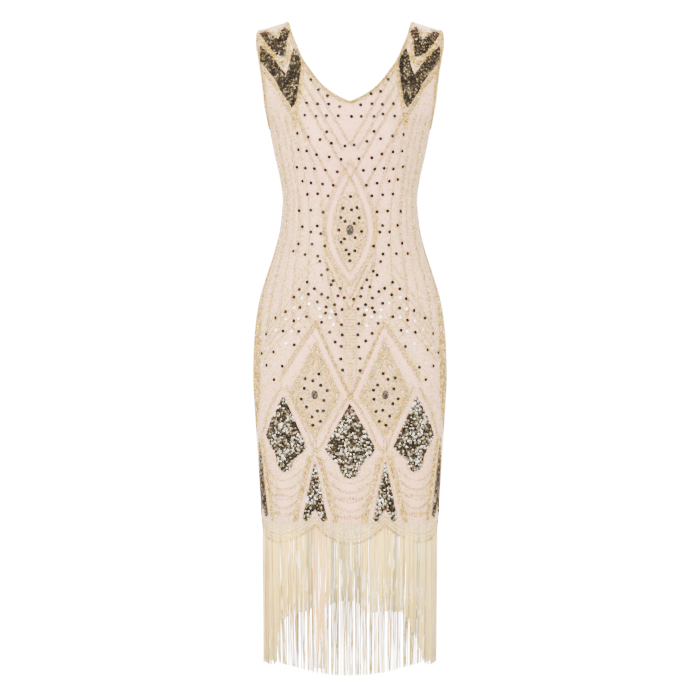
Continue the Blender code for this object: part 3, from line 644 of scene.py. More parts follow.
def set_at(shape, here, ahead, normal, size):
    """Copies of a shape at points, +Z along each normal and +X as near as may be to ahead."""
    ahead = ahead - normal * np.sum(ahead * normal, axis=-1, keepdims=True)
    ahead /= np.linalg.norm(ahead, axis=-1, keepdims=True) + 1e-12
    axes = np.stack([ahead, np.cross(normal, ahead), normal], axis=1)
    scaled = shape[0][None] * np.broadcast_to(size, (len(here), 3))[:, None, :]
    return here[:, None] + scaled @ axes


def set_on_cloth(shape, side, places, lift, heading, size, lean=None):
    """Copies of a shape on the cloth, +X along each one's heading on it and +Z off it.

    size scales X, Y and Z, for all copies or for each, and lean tips a copy's +Z forward and aside.
    """
    here = place(side, *places.T, lift)
    normal = outward(side, *places.T)
    ahead = place(side, *(places + heading * 0.001).T, lift) - here
    if lean is not None:
        across = unit(np.cross(normal, ahead))
        forward = np.cross(across, normal)
        normal = unit(normal + forward * lean[:, :1] + across * lean[:, 1:])
    return set_at(shape, here, ahead, normal, size)


def set_values(piece, label, values):
    """A value at each corner of a piece, for its material."""
    made = piece.data.attributes.new(label, "FLOAT", "POINT")
    made.data.foreach_set("value", values.astype(np.float32))


def joined_piece(name, shape, copies, tones, material):
    """Many copies of one shape as one object, each with its own tone."""
    count, corners = copies.shape[:2]
    faces = shape[1][None] + (np.arange(count) * corners)[:, None, None]
    piece = add_piece(name, copies.reshape(-1, 3), faces.reshape(-1, shape[1].shape[1]), material)
    set_values(piece, "tone", np.repeat(tones, corners))
    return piece


def ring_of(count, radius, height, first=0.0):
    """Points evenly round +Z, from an angle on."""
    turn = first + np.arange(count) * 2 * math.pi / count
    return points_of(radius * np.cos(turn), radius * np.sin(turn), height)


def band(rings, sides):
    """Faces between rings of corners, one after another."""
    faces = []
    for ring in range(rings - 1):
        for i in range(sides):
            a, b = ring * sides + i, ring * sides + (i + 1) % sides
            faces += [(a, a + sides, b + sides), (a, b + sides, b)]
    return faces


def closed_band(rings, sides):
    """Faces of rings of corners that the two corners after them close, below and above."""
    faces = band(rings, sides)
    last = (rings - 1) * sides
    for i in range(sides):
        n = (i + 1) % sides
        faces += [(rings * sides, i, n), (rings * sides + 1, last + n, last + i)]
    return np.array(faces)


def bead_shape():
    """A rose-cut bead of unit width: a flat six-cornered base, sloping sides and a small table."""
    lower = ring_of(6, 0.5, BEAD_BASE)
    upper = ring_of(3, BEAD_TABLE_RADIUS, BEAD_TABLE, math.pi / 6)
    faces = [(6, 7, 8), (0, 2, 1), (0, 3, 2), (0, 4, 3), (0, 5, 4)]
    for k in range(3):
        near, far, after = 2 * k, 2 * k + 1, (2 * k + 2) % 6
        top, top_after = 6 + k, 6 + (k + 1) % 3
        faces += [(near, far, top), (far, after, top_after), (far, top_after, top)]
    return np.concatenate([lower, upper]), np.array(faces)


def dot_shape():
    """A cupped round sequin of ten sides, with a raised rim and a cupped underside."""
    profile = ((0.14, -0.02), (0.36, 0.00), (0.50, 0.10), (0.49, 0.03), (0.34, -0.07))
    rings = [ring_of(10, radius, height) for radius, height in profile]
    return np.concatenate([*rings, [(0, 0, -0.03), (0, 0, -0.09)]]), closed_band(len(profile), 10)


BEAD_SHAPE = bead_shape()
DOT_SHAPE = dot_shape()


def both_halves(along, drop):
    """A place and its mirror image, which are one on the centre line."""
    return [(along, drop), (-along, drop)] if along > 0.001 else [(along, drop)]


def dots_of(side, rng):
    """Places of the gunmetal and of the clear sequins on one side of the dress."""
    dark = []
    clear = []
    for centre_drop, first, pitch, count, rise in DOT_ROWS[side]:
        for along in first + pitch * np.arange(count):
            dark += both_halves(along, centre_drop - rise * along)
    for along, drop in LOZENGE_DOTS:
        dark += both_halves(along, drop)
    for from_along, from_drop, to_along, to_drop, count, between in HIP_DOTS:
        head = np.array((from_along, from_drop))
        run = (to_along, to_drop) - head
        for sign in (1, -1):
            dark += [(head + run * share) * (sign, 1) for share in np.linspace(0.0, 1.0, count)]
            shares = (np.arange(between) + 0.5) / max(between, 1)
            clear += [(head + run * share + CLEAR_DOT_SHIFT) * (sign, 1) for share in shares]
    for sign in (1, -1):
        for number in range(HIP_RING_COUNT):
            angle = 2 * math.pi * (number + 0.5) / HIP_RING_COUNT
            out = HIP_RING_FAR if number % 2 else HIP_RING_NEAR
            along = HIP_STONE[0] + HIP_RING_REACH[0] * math.sin(angle) * out[0]
            drop = HIP_STONE[1] - HIP_RING_REACH[1] * math.cos(angle) * out[1]
            dark.append(on_skirt(sign * along, drop))
        for aside, below in BELOW_HIP_RING:
            dark.append(on_skirt(sign * (HIP_STONE[0] + aside), HIP_STONE[1] + below))
    found = []
    taken = []
    for places in (dark, clear):
        places = np.array(places) + rng.normal(0.0, DOT_STRAY, (len(places), 2))
        kept = []
        for spot in places[on_cloth(side, *places.T, DOT_MARGIN)]:
            if all(np.hypot(*(spot - other)) > DOT_APART for other in taken):
                kept.append(spot)
                taken.append(spot)
        found.append(np.array(kept))
    return found


def tone_ramp(tree, steps):
    """The tone of each copy in a piece, and the colour that stands for it among the steps."""
    tone = add_node(tree, "Attribute", {"attribute_name": "tone"}).outputs["Fac"]
    ramp = add_node(tree, "ValToRGB", Fac=tone)
    while len(ramp.color_ramp.elements) < len(steps):
        ramp.color_ramp.elements.new(0.5)
    for element, (position, colour) in zip(ramp.color_ramp.elements, steps):
        element.position = position
        element.color = colour
    return tone, ramp.outputs["Color"]


def sequin_material(name, steps, rough, clear_coat):
    """Metallised film: its tone is set for each sequin, with fine scuffs that blur it a little."""
    made, tree, shader = new_material(name)
    set_inputs(
        tree, shader,
        Base_Color=tone_ramp(tree, steps)[1],
        Roughness=spread(tree, noise_of(tree, 900.0, 2.0), 0.3, 0.7, *rough),
        Metallic=0.9,
        Coat_Weight=clear_coat,
        Coat_Roughness=0.05,
    )
    return made


DOT_DARK_STEPS = (
    (0.0, (0.004, 0.003, 0.003, 1.0)),
    (0.7, (0.011, 0.008, 0.006, 1.0)),
    (1.0, (0.022, 0.016, 0.011, 1.0)),
)
DOT_CLEAR_STEPS = ((0.0, (0.80, 0.78, 0.72, 1.0)), (1.0, (0.97, 0.96, 0.93, 1.0)))
gunmetal_dots = sequin_material("gunmetal sequins", DOT_DARK_STEPS, (0.22, 0.34), 0.0)
clear_dots = sequin_material("clear sequins", DOT_CLEAR_STEPS, (0.08, 0.16), 0.6)
sewn_dots = {}
for seed, side in ((41, "front"), (42, "back")):
    dot_rng = np.random.default_rng(seed)
    dot_places = dots_of(side, dot_rng)
    sewn_dots[side] = np.concatenate(dot_places)
    for kind, places, finish in zip(("dark", "clear"), dot_places, (gunmetal_dots, clear_dots)):
        count = len(places)
        turn = dot_rng.uniform(0, 2 * math.pi, count)
        heading = points_of(np.cos(turn), np.sin(turn))
        lean = dot_rng.normal(0.0, DOT_LEAN, (count, 2))
        size = DOT_SIZE * (1.0 if kind == "dark" else CLEAR_DOT_SHARE)
        cups = set_on_cloth(DOT_SHAPE, side, places, DOT_LIFT, heading, size, lean)
        dots = joined_piece(f"sequins_{kind}_{side}", DOT_SHAPE, cups, dot_rng.random(count), finish)
        dots.data.shade_smooth()
        if kind == "dark":
            seats = set_on_cloth(BEAD_SHAPE, side, places, DOT_BEAD_LIFT, heading, DOT_BEAD_SIZE)
            tones = dot_rng.random(count) * 0.12
            held = joined_piece(f"sequin_beads_{side}", BEAD_SHAPE, seats, tones, gunmetal_dots)

# ---------------------------------------------------------------------------------------------
# Sequined motifs
# Flat 4.7 mm sequins in gunmetal, bronze and silver, sewn in overlapping rows that fill two chevrons
# on each shoulder, three spearheads and two forked tails on each panel, and one more fork beside
# each side seam. Each sequin lies at its own slant, so that some of them flash.

SEQUIN_SIZE, SEQUIN_PITCH, SEQUIN_EDGE = 0.0047, 0.0031, 0.0009
SEQUIN_LIFT, SEQUIN_LAP = 0.0013, 0.0005
SEQUIN_TILT, SEQUIN_LEAN, SEQUIN_STRAY = 0.13, 0.17, 0.0003
SEQUIN_FROM_SEAM = 0.0015
CHEVRON_BRIGHTEST = 0.71
CHEVRON_EDGE = {"upper": -0.0008, "lower": 0.0006}
MOTIF_EDGE_TINT = (0.42, 0.36, 0.28, 1.0)
SIDE_FORK_BRIGHTEST = 0.84
# The rows don't lie quite level: their slant swells and fades across each motif. Their tone
# rises and falls with it as a painted reflection: bright bands where the rows tilt to the light.
SWELL_ALONG, SWELL_DOWN, SWELL_SLANT, SWELL_PAINTED_FLASH = 0.052, 0.047, 0.07, 0.10
# Sequins from one strand are much alike, so bright and dark ones lie in small patches.
PATCH_SIZE, PATCH_SHARE, PATCH_WAVES = 0.0070, 0.45, 16
# Columns: half width, drop.
SPEAR = (
    (0.0010, 0.6845), (0.0125, 0.7060), (0.0245, 0.7270), (0.0355, 0.7475), (0.0430, 0.7640),
    (0.0345, 0.7755), (0.0245, 0.7845), (0.0175, 0.7915), (0.0160, 0.8010), (0.0095, 0.8095),
    (0.0020, 0.8135),
)
# Columns: outer half width, outer drop, inner half width, inner drop.
FORK_LEG = (
    (0.0215, 0.8845, 0.0150, 0.8900), (0.0165, 0.8655, 0.0090, 0.8810),
    (0.0125, 0.8420, 0.0040, 0.8720), (0.0060, 0.8150, 0.0015, 0.8690),
)
FORK_TIP_DROP, FORK_NOTCH_DROP = 0.7900, 0.8670
# Columns: lower across, lower drop, upper across, upper drop.
CHEVRONS = {
    "upper": (
        (0.1590, 0.0150, 0.1525, 0.0100), (0.1435, 0.0430, 0.1400, 0.0265),
        (0.1320, 0.0600, 0.1310, 0.0360), (0.1170, 0.0700, 0.1262, 0.0385),
        (0.1150, 0.0420, 0.1210, 0.0240), (0.1088, 0.0245, 0.1175, 0.0140),
    ),
    "lower": (
        (0.1575, 0.0750, 0.1582, 0.0465), (0.1425, 0.0950, 0.1380, 0.0690),
        (0.1295, 0.1130, 0.1290, 0.0825), (0.1180, 0.1350, 0.1210, 0.0945),
        (0.1005, 0.1625, 0.1130, 0.1040), (0.0950, 0.1480, 0.1095, 0.0960),
        (0.0905, 0.1190, 0.1060, 0.0850), (0.0872, 0.0870, 0.1035, 0.0730),
        (0.0900, 0.0700, 0.0990, 0.0570),
    ),
}
SIDE_SPEAR_ALONG, FORK_ALONG, SIDE_FORK_ALONG = 0.1210, 0.0620, 0.1900


def lattice_inside(outline, pitch, margin, jitter, rng):
    """Places on a staggered lattice inside a closed outline of (along, drop) corners."""
    low, high = outline.min(axis=0), outline.max(axis=0)
    found = []
    for number, drop in enumerate(np.arange(low[1] + margin, high[1], pitch * 0.87)):
        crossing = []
        for a, b in zip(outline, np.roll(outline, -1, axis=0)):
            if (a[1] > drop) != (b[1] > drop):
                crossing.append(a[0] + (b[0] - a[0]) * (drop - a[1]) / (b[1] - a[1]))
        crossing.sort()
        for left, right in zip(crossing[::2], crossing[1::2]):
            inside = right - left - 2 * margin
            if inside < 0:
                found.append(((left + right) / 2, drop))
                continue
            count = int(round(inside / pitch)) + 1
            shift = 0.25 * pitch * (1 if number % 2 else -1) if count > 3 else 0.0
            for at in np.linspace(left + margin, right - margin, count):
                inner = left + margin * 1.2 < at < right - margin * 1.2
                found.append((at + (shift if inner else 0.0), drop))
    found = np.array(found)
    return found + rng.normal(0.0, jitter, found.shape)


def sequin_shape():
    """A disc of eight corners, all but flat on top and closed by a shallow cone below."""
    points = np.concatenate([ring_of(8, 0.5, 0.0, math.pi / 8), [(0, 0, 0.008), (0, 0, -0.045)]])
    return points, closed_band(1, 8)


SEQUIN_SHAPE = sequin_shape()


def spear_outline(centre):
    down = [on_skirt(centre + half, drop) for half, drop in SPEAR]
    up = [on_skirt(centre - half, drop) for half, drop in SPEAR[::-1]]
    return np.array(down + up)


def on_fork(centre, along, drop):
    """A place on a fork. The fork beside the side seam follows the cross lines, but isn't slanted."""
    if abs(centre) < SIDE_FORK_ALONG:
        return on_skirt(along, drop)
    return along, on_skirt(centre, drop)[1]


def fork_outline(centre):
    outer = [(half, drop) for half, drop, _, _ in FORK_LEG[::-1]]
    right = outer + [(half, drop) for _, _, half, drop in FORK_LEG]
    left = [(-half, drop) for half, drop in right[::-1]]
    corners = [(0.0, FORK_TIP_DROP)] + right + [(0.0, FORK_NOTCH_DROP)] + left
    return np.array([on_fork(centre, centre + along, drop) for along, drop in corners])


def chevron_outline(side, table, sign):
    across, drop = np.array([row[:2] for row in table] + [row[2:] for row in table[::-1]]).T
    return points_of(sign * along_at(side, drop, across), drop)


def sewn_sequins(name, side, outline, rng, node=None, brightest=1.0, edge=SEQUIN_EDGE):
    """A motif's outline filled with sequins, which replace its node where it has one."""
    places = lattice_inside(outline, SEQUIN_PITCH, edge, SEQUIN_STRAY, rng)
    places = places[np.abs(places[:, 0]) < half_girth(side, places[:, 1]) - SEQUIN_FROM_SEAM]
    count = len(places)
    sewn_sequin_places[side].append(places)
    turn = math.pi / 2 + rng.uniform(-0.4, 0.4, count)
    heading = points_of(np.cos(turn), np.sin(turn))
    swell = np.sin(2 * math.pi * (places[:, 0] / SWELL_ALONG + places[:, 1] / SWELL_DOWN + rng.random()))
    lean = rng.normal(0.0, SEQUIN_LEAN, (count, 2)) - (SEQUIN_TILT, 0.0)
    lean[:, 0] += SWELL_SLANT * swell
    waves = rng.normal(0.0, 1.0, (2, PATCH_WAVES)) * 2 * math.pi / (PATCH_SIZE * 1.4)
    patches = np.cos(places @ waves + rng.uniform(0.0, 2 * math.pi, PATCH_WAVES)).mean(axis=1)
    score = rng.normal(0.0, 1.0, count) + PATCH_SHARE * patches / patches.std()
    tones = score.argsort().argsort() / count
    # The tone follows the slant's swell: painted reflection, bands of sequins that seem to flash.
    tones = np.clip(tones + SWELL_PAINTED_FLASH * swell, 0.0, 1.0) * brightest
    lift = SEQUIN_LIFT + SEQUIN_LAP * rng.random(count)
    size = SEQUIN_SIZE * rng.normal(1.0, 0.04, (count, 1))
    copies = set_on_cloth(SEQUIN_SHAPE, side, places, lift, heading, size, lean)
    field = joined_piece(name, SEQUIN_SHAPE, copies, tones, motif_sequins)
    if node:
        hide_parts(node)


MOTIF_STEPS = (
    (0.00, (0.008, 0.006, 0.004, 1.0)),
    (0.42, (0.034, 0.025, 0.014, 1.0)),
    (0.60, (0.130, 0.094, 0.048, 1.0)),
    (0.78, (0.360, 0.285, 0.170, 1.0)),
    (0.90, (0.700, 0.620, 0.470, 1.0)),
    (1.00, (0.960, 0.940, 0.890, 1.0)),
)
motif_sequins = sequin_material("motif sequins", MOTIF_STEPS, (0.12, 0.26), 0.1)
motif_shader = motif_sequins.node_tree.nodes["Principled BSDF"]
motif_shader.inputs["Specular Tint"].default_value = MOTIF_EDGE_TINT
sewn_sequin_places = {"front": [], "back": []}
for seed, side in ((51, "front"), (52, "back")):
    motif_rng = np.random.default_rng(seed)
    for name, sign in (("left", 1), ("right", -1)):
        for level_name, table in CHEVRONS.items():
            node = f"chevron_{side}_{name}_{level_name}"
            sewn_sequins(
                f"sequined_{node}", side, chevron_outline(side, table, sign), motif_rng, node,
                CHEVRON_BRIGHTEST, CHEVRON_EDGE[level_name],
            )
        for kind, outline in (
            ("spear", spear_outline(sign * SIDE_SPEAR_ALONG)), ("fork", fork_outline(sign * FORK_ALONG)),
        ):
            node = f"{kind}_{side}_{name}"
            sewn_sequins(f"sequined_{node}", side, outline, motif_rng, node)
        outline = fork_outline(sign * SIDE_FORK_ALONG)
        sewn_sequins(
            f"sequined_side_fork_{side}_{name}", side, outline, motif_rng, brightest=SIDE_FORK_BRIGHTEST
        )
    outline = spear_outline(0.0)
    sewn_sequins(f"sequined_spear_{side}_centre", side, outline, motif_rng, f"spear_{side}_centre")

# ---------------------------------------------------------------------------------------------
# Set stones
# Oval grey glass stones, step cut, in gilt claw settings whose flat backs are sewn to the net in
# the middle of each lozenge.

# Columns: name, along, drop, half width, half height, lift.
STONES = (
    ("waist", 0.0, 0.3785, 0.0072, 0.0102, 0.0010),
    ("hip_left", FORK_ALONG, 0.6710, 0.0062, 0.0086, 0.0002),
    ("hip_right", -FORK_ALONG, 0.6710, 0.0062, 0.0086, 0.0002),
)
STONE_RISE = 0.0042
STONE_SIDES, SETTING_SIDES = 10, 36
CLAWS, CLAW_SIZE, CLAW_REACH, CLAW_RISE, CLAW_TONE = 8, 0.0014, 0.92, 0.48, 0.3
# Columns: share of width, share of rise, turned.
STONE_PROFILE = (
    (0.88, 0.10, 0.0), (0.94, 0.34, 0.0), (0.80, 0.66, 0.5), (0.58, 0.88, 0.0), (0.34, 1.00, 0.5),
)
SETTING_PROFILE = (
    (0.98, 0.00, 0.0), (1.00, 0.18, 0.0), (0.99, 0.32, 0.0), (0.95, 0.36, 0.0), (0.90, 0.20, 0.0),
)
STONE_DARK, STONE_VEIN = (0.002, 0.002, 0.002, 1.0), (0.100, 0.080, 0.064, 1.0)
GILT, GILT_WORN = (0.240, 0.135, 0.020, 1.0), (0.420, 0.270, 0.070, 1.0)


def oval_point(side, stone, share, angle, rise):
    """A point of a stone or its setting: a share of the oval out, and a share of the rise up."""
    _, along, drop, half_width, half_height, lift = stone
    seat = on_skirt(along, drop)
    normal = outward(side, *seat)
    along += half_width * share * math.cos(angle)
    drop += half_height * share * math.sin(angle)
    flat = place(side, *on_skirt(along, drop))
    flat = flat - normal * np.dot(flat - place(side, *seat), normal)
    return flat + normal * (lift + STONE_RISE * rise)


def turned_oval(name, side, stone, profile, sides, material):
    """An oval turned body: a ring of corners for each row of its profile, closed at both ends."""
    points = []
    for share, rise, turned in profile:
        for i in range(sides):
            points.append(oval_point(side, stone, share, 2 * math.pi * (i + turned) / sides, rise))
    for _, rise, _ in (profile[0], profile[-1]):
        points.append(oval_point(side, stone, 0.0, 0.0, rise))
    faces = closed_band(len(profile), sides)
    if side == "back":
        faces = faces[:, ::-1]
    body = add_piece(name, np.array(points), faces, material)
    return body


def stone_material():
    made, tree, shader = new_material("grey glass stone")
    cloud = noise_of(tree, 420.0, 2.0)
    set_inputs(
        tree, shader,
        Base_Color=mixed(tree, spread(tree, cloud, 0.46, 0.60, 0.0, 1.0), STONE_DARK, STONE_VEIN),
        Roughness=spread(tree, cloud, 0.0, 1.0, 0.03, 0.12),
        IOR=1.20,
    )
    return made


def setting_material():
    made, tree, shader = new_material("gilt setting")
    tone = uneven(tree, GILT, GILT_WORN, 0.004, 1.0)
    rough = spread(tree, tone["Mask"], 0.0, 1.0, 0.20, 0.38)
    set_inputs(tree, shader, Base_Color=tone["Colour"], Roughness=rough, Metallic=0.95)
    return made


stone_glass = stone_material()
gilt = setting_material()
for side in ("front", "back"):
    for stone in STONES:
        label = f"{side}_{stone[0]}"
        setting = turned_oval(f"setting_{label}", side, stone, SETTING_PROFILE, SETTING_SIDES, gilt)
        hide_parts(f"stone_{label}")
        turned_oval(f"cut_stone_{label}", side, stone, STONE_PROFILE, STONE_SIDES, stone_glass)
        angles = 2 * math.pi * (np.arange(CLAWS) + 0.5) / CLAWS
        tips = np.array([oval_point(side, stone, CLAW_REACH, angle, CLAW_RISE) for angle in angles])
        normal = np.tile(outward(side, *on_skirt(*stone[1:3])), (CLAWS, 1))
        seats = set_at(BEAD_SHAPE, tips, np.array([[0.0, 0.0, 1.0]]), normal, CLAW_SIZE)
        held = joined_piece(f"claws_{label}", BEAD_SHAPE, seats, np.full(CLAWS, CLAW_TONE), gilt)

# ---------------------------------------------------------------------------------------------
# Bead embroidery
# Faceted champagne and pale gold glass beads of about 2 mm, and short bugles, sewn to the net in
# rows: the shoulder chevrons' borders, V lines down the bodice, lines that follow the side seams,
# a lozenge on the waist and one on each hip, and swags of beads over every scallop.

BEAD_SIZE, BEAD_PITCH, BEAD_STRAY = 0.0023, 0.0027, 0.00018
BUGLE_LENGTH, BUGLE_WIDTH = 0.0042, 0.0016
BEAD_LIFT = 0.0003
CLEAR_OF_DOT, CLEAR_OF_SEQUIN, CLEAR_OF_STONE = 0.0034, 0.0024, 0.0014


def bugle_shape():
    """A six-sided tube bead of unit length and width, closed at both ends."""
    ring = ring_of(6, 0.5, 0.0)[:, [2, 0, 1]]
    points = np.concatenate([ring - (0.5, 0, 0), ring + (0.5, 0, 0)])
    faces = [face[::-1] for face in band(2, 6)]
    for i in range(1, 5):
        faces += [(0, i + 1, i), (6, 6 + i, 6 + i + 1)]
    return points, np.array(faces)


BUGLE_SHAPE = bugle_shape()


def spot_tree(spots):
    tree = KDTree(len(spots))
    for number, (along, drop) in enumerate(spots):
        tree.insert((along, drop, 0.0), number)
    tree.balance()
    return tree


def nearest_spots(tree, places):
    """How far each place lies from the nearest spot of a tree."""
    return np.array([tree.find((along, drop, 0.0))[2] for along, drop in places])


def evenly_on(path, pitch):
    """Places about a pitch apart on a path of straight parts, and its heading at each."""
    stops = lengths_along(path)
    count = max(1, int(round(stops[-1] / pitch)))
    at = (np.arange(count) + 0.5) * stops[-1] / count
    part = np.clip(np.searchsorted(stops, at) - 1, 0, len(path) - 2)
    places = points_of(*(np.interp(at, stops, column) for column in path.T))
    return places, unit(np.diff(path, axis=0)[part])


class BeadRows:
    """Rows of beads on one side of the dress, gathered before they are made into pieces.

    Their paths are of (along, drop) places. While sign is -1 their mirror images are beaded.
    """

    def __init__(self, side, seed):
        self.side = side
        self.sign = 1
        self.rng = np.random.default_rng(seed)
        self.beads = []
        self.bugles = []
        self.dots = spot_tree(sewn_dots[side])
        self.sequins = spot_tree(np.concatenate(sewn_sequin_places[side]))

    def on_both_halves(self):
        """Lets a loop draw a figure on one half of the panel and then on the other."""
        for self.sign in (1, -1):
            yield self.sign
        self.sign = 1

    def add(self, kind, places, heading, length, width, margin, reach=0.0):
        """Keeps beads that are on the net and clear of the sequins and stones sewn already."""
        keep = on_cloth(self.side, *places.T, margin)
        keep &= nearest_spots(self.dots, places) > CLEAR_OF_DOT + reach
        keep &= nearest_spots(self.sequins, places) > CLEAR_OF_SEQUIN + reach
        for _, along, drop, half_width, half_height, _ in STONES:
            apart = places - on_skirt(along, drop)
            apart /= np.array((half_width, half_height)) + CLEAR_OF_STONE + reach
            keep &= np.sum(apart**2, axis=-1) > 1.0
        sizes = np.full(places.shape, (length, width))
        kind.append(np.concatenate([places, heading, sizes], axis=-1)[keep])

    def line(self, path, pitch=BEAD_PITCH, size=BEAD_SIZE, curved=False, margin=0.0035):
        """Beads strung along a path, straight from one place to the next or curved."""
        path = np.array(path, float) * (self.sign, 1)
        if curved:
            stops = lengths_along(path)
            fine = np.linspace(0.0, stops[-1], 12 * len(path))
            path = points_of(*(smooth_curve(stops, column, fine) for column in path.T))
        places, heading = evenly_on(path, pitch)
        places += self.rng.normal(0.0, BEAD_STRAY, places.shape)
        self.add(self.beads, places, heading, size, size, margin)

    def lines(self, path, offsets, **how):
        """The same path several times, moved aside by each offset."""
        run = unit(np.gradient(path, axis=0))
        aside = points_of(run[:, 1], -run[:, 0]) * self.sign
        for offset in offsets:
            self.line(path + aside * offset, **how)

    def rungs(self, path, pitch, slant, length=BUGLE_LENGTH, width=BUGLE_WIDTH):
        """Bugles set side by side along a path, each turned by slant radians from its direction."""
        places, run = evenly_on(np.array(path, float) * (self.sign, 1), pitch)
        turn = (slant + self.rng.normal(0.0, 0.09, len(places)))[:, None]
        heading = run * np.cos(turn) + points_of(-run[:, 1], run[:, 0]) * np.sin(turn)
        self.add(self.bugles, places, heading, length, width, 0.003, 0.0008)

    def fill(self, outline, pitch, size):
        """Loose beads all over the inside of a closed outline."""
        outline = np.array(outline, float) * (self.sign, 1)
        places = lattice_inside(outline, pitch, pitch * 0.8, pitch * 0.22, self.rng)
        turn = self.rng.uniform(0, 2 * math.pi, len(places))
        self.add(self.beads, places, points_of(np.cos(turn), np.sin(turn)), size, size, 0.003)

    def gathered(self, upper, lower):
        """The beads' and the bugles' rows whose drop lies between two drops."""
        found = []
        for kind in (self.beads, self.bugles):
            rows = np.concatenate(kind)
            found.append(rows[(rows[:, 1] >= upper) & (rows[:, 1] < lower)])
        return found


def skirt_path(points, steps=6):
    """A path of the skirt's pattern, with further places so that it follows the cross lines."""
    corners = np.arange(len(points))
    shares = np.linspace(0.0, len(points) - 1.0, steps * (len(points) - 1) + 1)
    along, drop = (np.interp(shares, corners, column) for column in np.array(points, float).T)
    return points_of(*on_skirt(along, drop))


def rays(middle, count, out, more_above, length):
    """Starts, directions and length of rays evenly all round a stone, from straight up on."""
    for turn in np.arange(count) * 2 * math.pi / count:
        run = np.array((math.sin(turn), -math.cos(turn)))
        yield middle + run * (out + more_above * abs(run[1])), run, length


V_SLOPE, V_LINE_HALF_GAP = 1.72, 0.0013
# Columns: apex drop, inner along, outer along.
V_LINES = {
    "front": (
        (0.2304, 0.000, 0.078), (0.2610, 0.012, 0.084), (0.2890, 0.000, 0.092), (0.3480, 0.026, 0.098),
    ),
    "back": (
        (0.2540, 0.000, 0.078), (0.2820, 0.010, 0.084), (0.3100, 0.000, 0.098), (0.3580, 0.026, 0.102),
    ),
}
# Lines that follow the side seam: how far along the cloth each lies at these drops.
SIDE_LINE_DROPS = (0.172, 0.240, 0.300, 0.365, 0.430, 0.500, 0.560)
SIDE_LINES = (
    (0.094, 0.072, 0.054, 0.044, 0.041, 0.030, 0.014),
    (0.110, 0.094, 0.080, 0.073, 0.074, 0.076, 0.066),
    (0.124, 0.112, 0.099, 0.093, 0.098, 0.103, 0.100),
    (0.140, 0.130, 0.116, 0.111, 0.118, 0.128, 0.130),
    (0.157, 0.148, 0.133, 0.128, 0.138, 0.152, 0.158),
    (0.176, 0.167, 0.149, 0.145, 0.158, 0.175, 0.184),
    (0.194, 0.185, 0.163, 0.160, 0.176, 0.196, 0.206),
)
# Bugles lie beside every other one of them.
SIDE_RUNG_ASIDE, SIDE_RUNG_PITCH = 0.0035, 0.0062


def bead_the_bodice(rows):
    """V lines down the bodice, and lines that follow its side seams."""
    for _ in rows.on_both_halves():
        for apex, inner, outer in V_LINES[rows.side]:
            along = np.linspace(inner, outer, 9)
            path = points_of(along, apex - V_SLOPE * along)
            rows.lines(path, (-V_LINE_HALF_GAP, V_LINE_HALF_GAP))
        for number, line in enumerate(SIDE_LINES):
            path = points_of(line, SIDE_LINE_DROPS)
            rows.line(path, curved=True, size=0.0021, pitch=0.0030)
            if number % 2 == 0:
                rows.rungs(path + (SIDE_RUNG_ASIDE, 0.0), SIDE_RUNG_PITCH, 0.0)


# Columns: drop, half width.
WAIST_LOZENGE = (
    (0.2880, 0.0000), (0.3100, 0.0110), (0.3340, 0.0200), (0.3570, 0.0262), (0.3785, 0.0285),
    (0.4000, 0.0252), (0.4170, 0.0195), (0.4360, 0.0100), (0.4520, 0.0000),
)
# The lozenge is repeated larger round itself in single rows, and smaller inside in rungs.
LOZENGE_GROWTHS, LOZENGE_GROWTH_DOWN = (0.0, 0.0030, 0.0140, 0.0170, 0.0200), 1.5
# Columns: shrink, pitch.
LOZENGE_RUNGS = ((0.0055, 0.0050), (0.0110, 0.0058))
WAIST_STONE_DROP, WAIST_LOZENGE_HALF_HEIGHT = 0.3785, 0.080
# Rows that rise to the sides below the waist, and above and beside the hip chevron.
LOWER_V_DROP, LOWER_V_SHIFTS, LOWER_V_RUN = 0.4980, (0.0, 0.0032, 0.0200, 0.0232), (0.042, -0.084)
LOWER_ROWS, LOWER_ROW_FIRST, LOWER_ROW_STEP = 5, (0.016, 0.034), (0.012, 0.0155)
LOWER_ROW_RUN = (0.056, -0.060)
SIDE_ROWS, SIDE_ROW_STEP, SIDE_ROW_OUT, SIDE_ROW_NARROWING = 5, (0.0203, 0.0154), (0.012, 0.042), 0.003
# Rays of bugles round a stone: count, how far out they begin at the sides and more above, length.
WAIST_RAYS, HIP_RAYS = (14, 0.0100, 0.0030, 0.0060), (12, 0.0092, 0.0026, 0.0055)
RAY_TIP_OUT, RAY_TIP_LENGTH = 0.0125, 0.0050


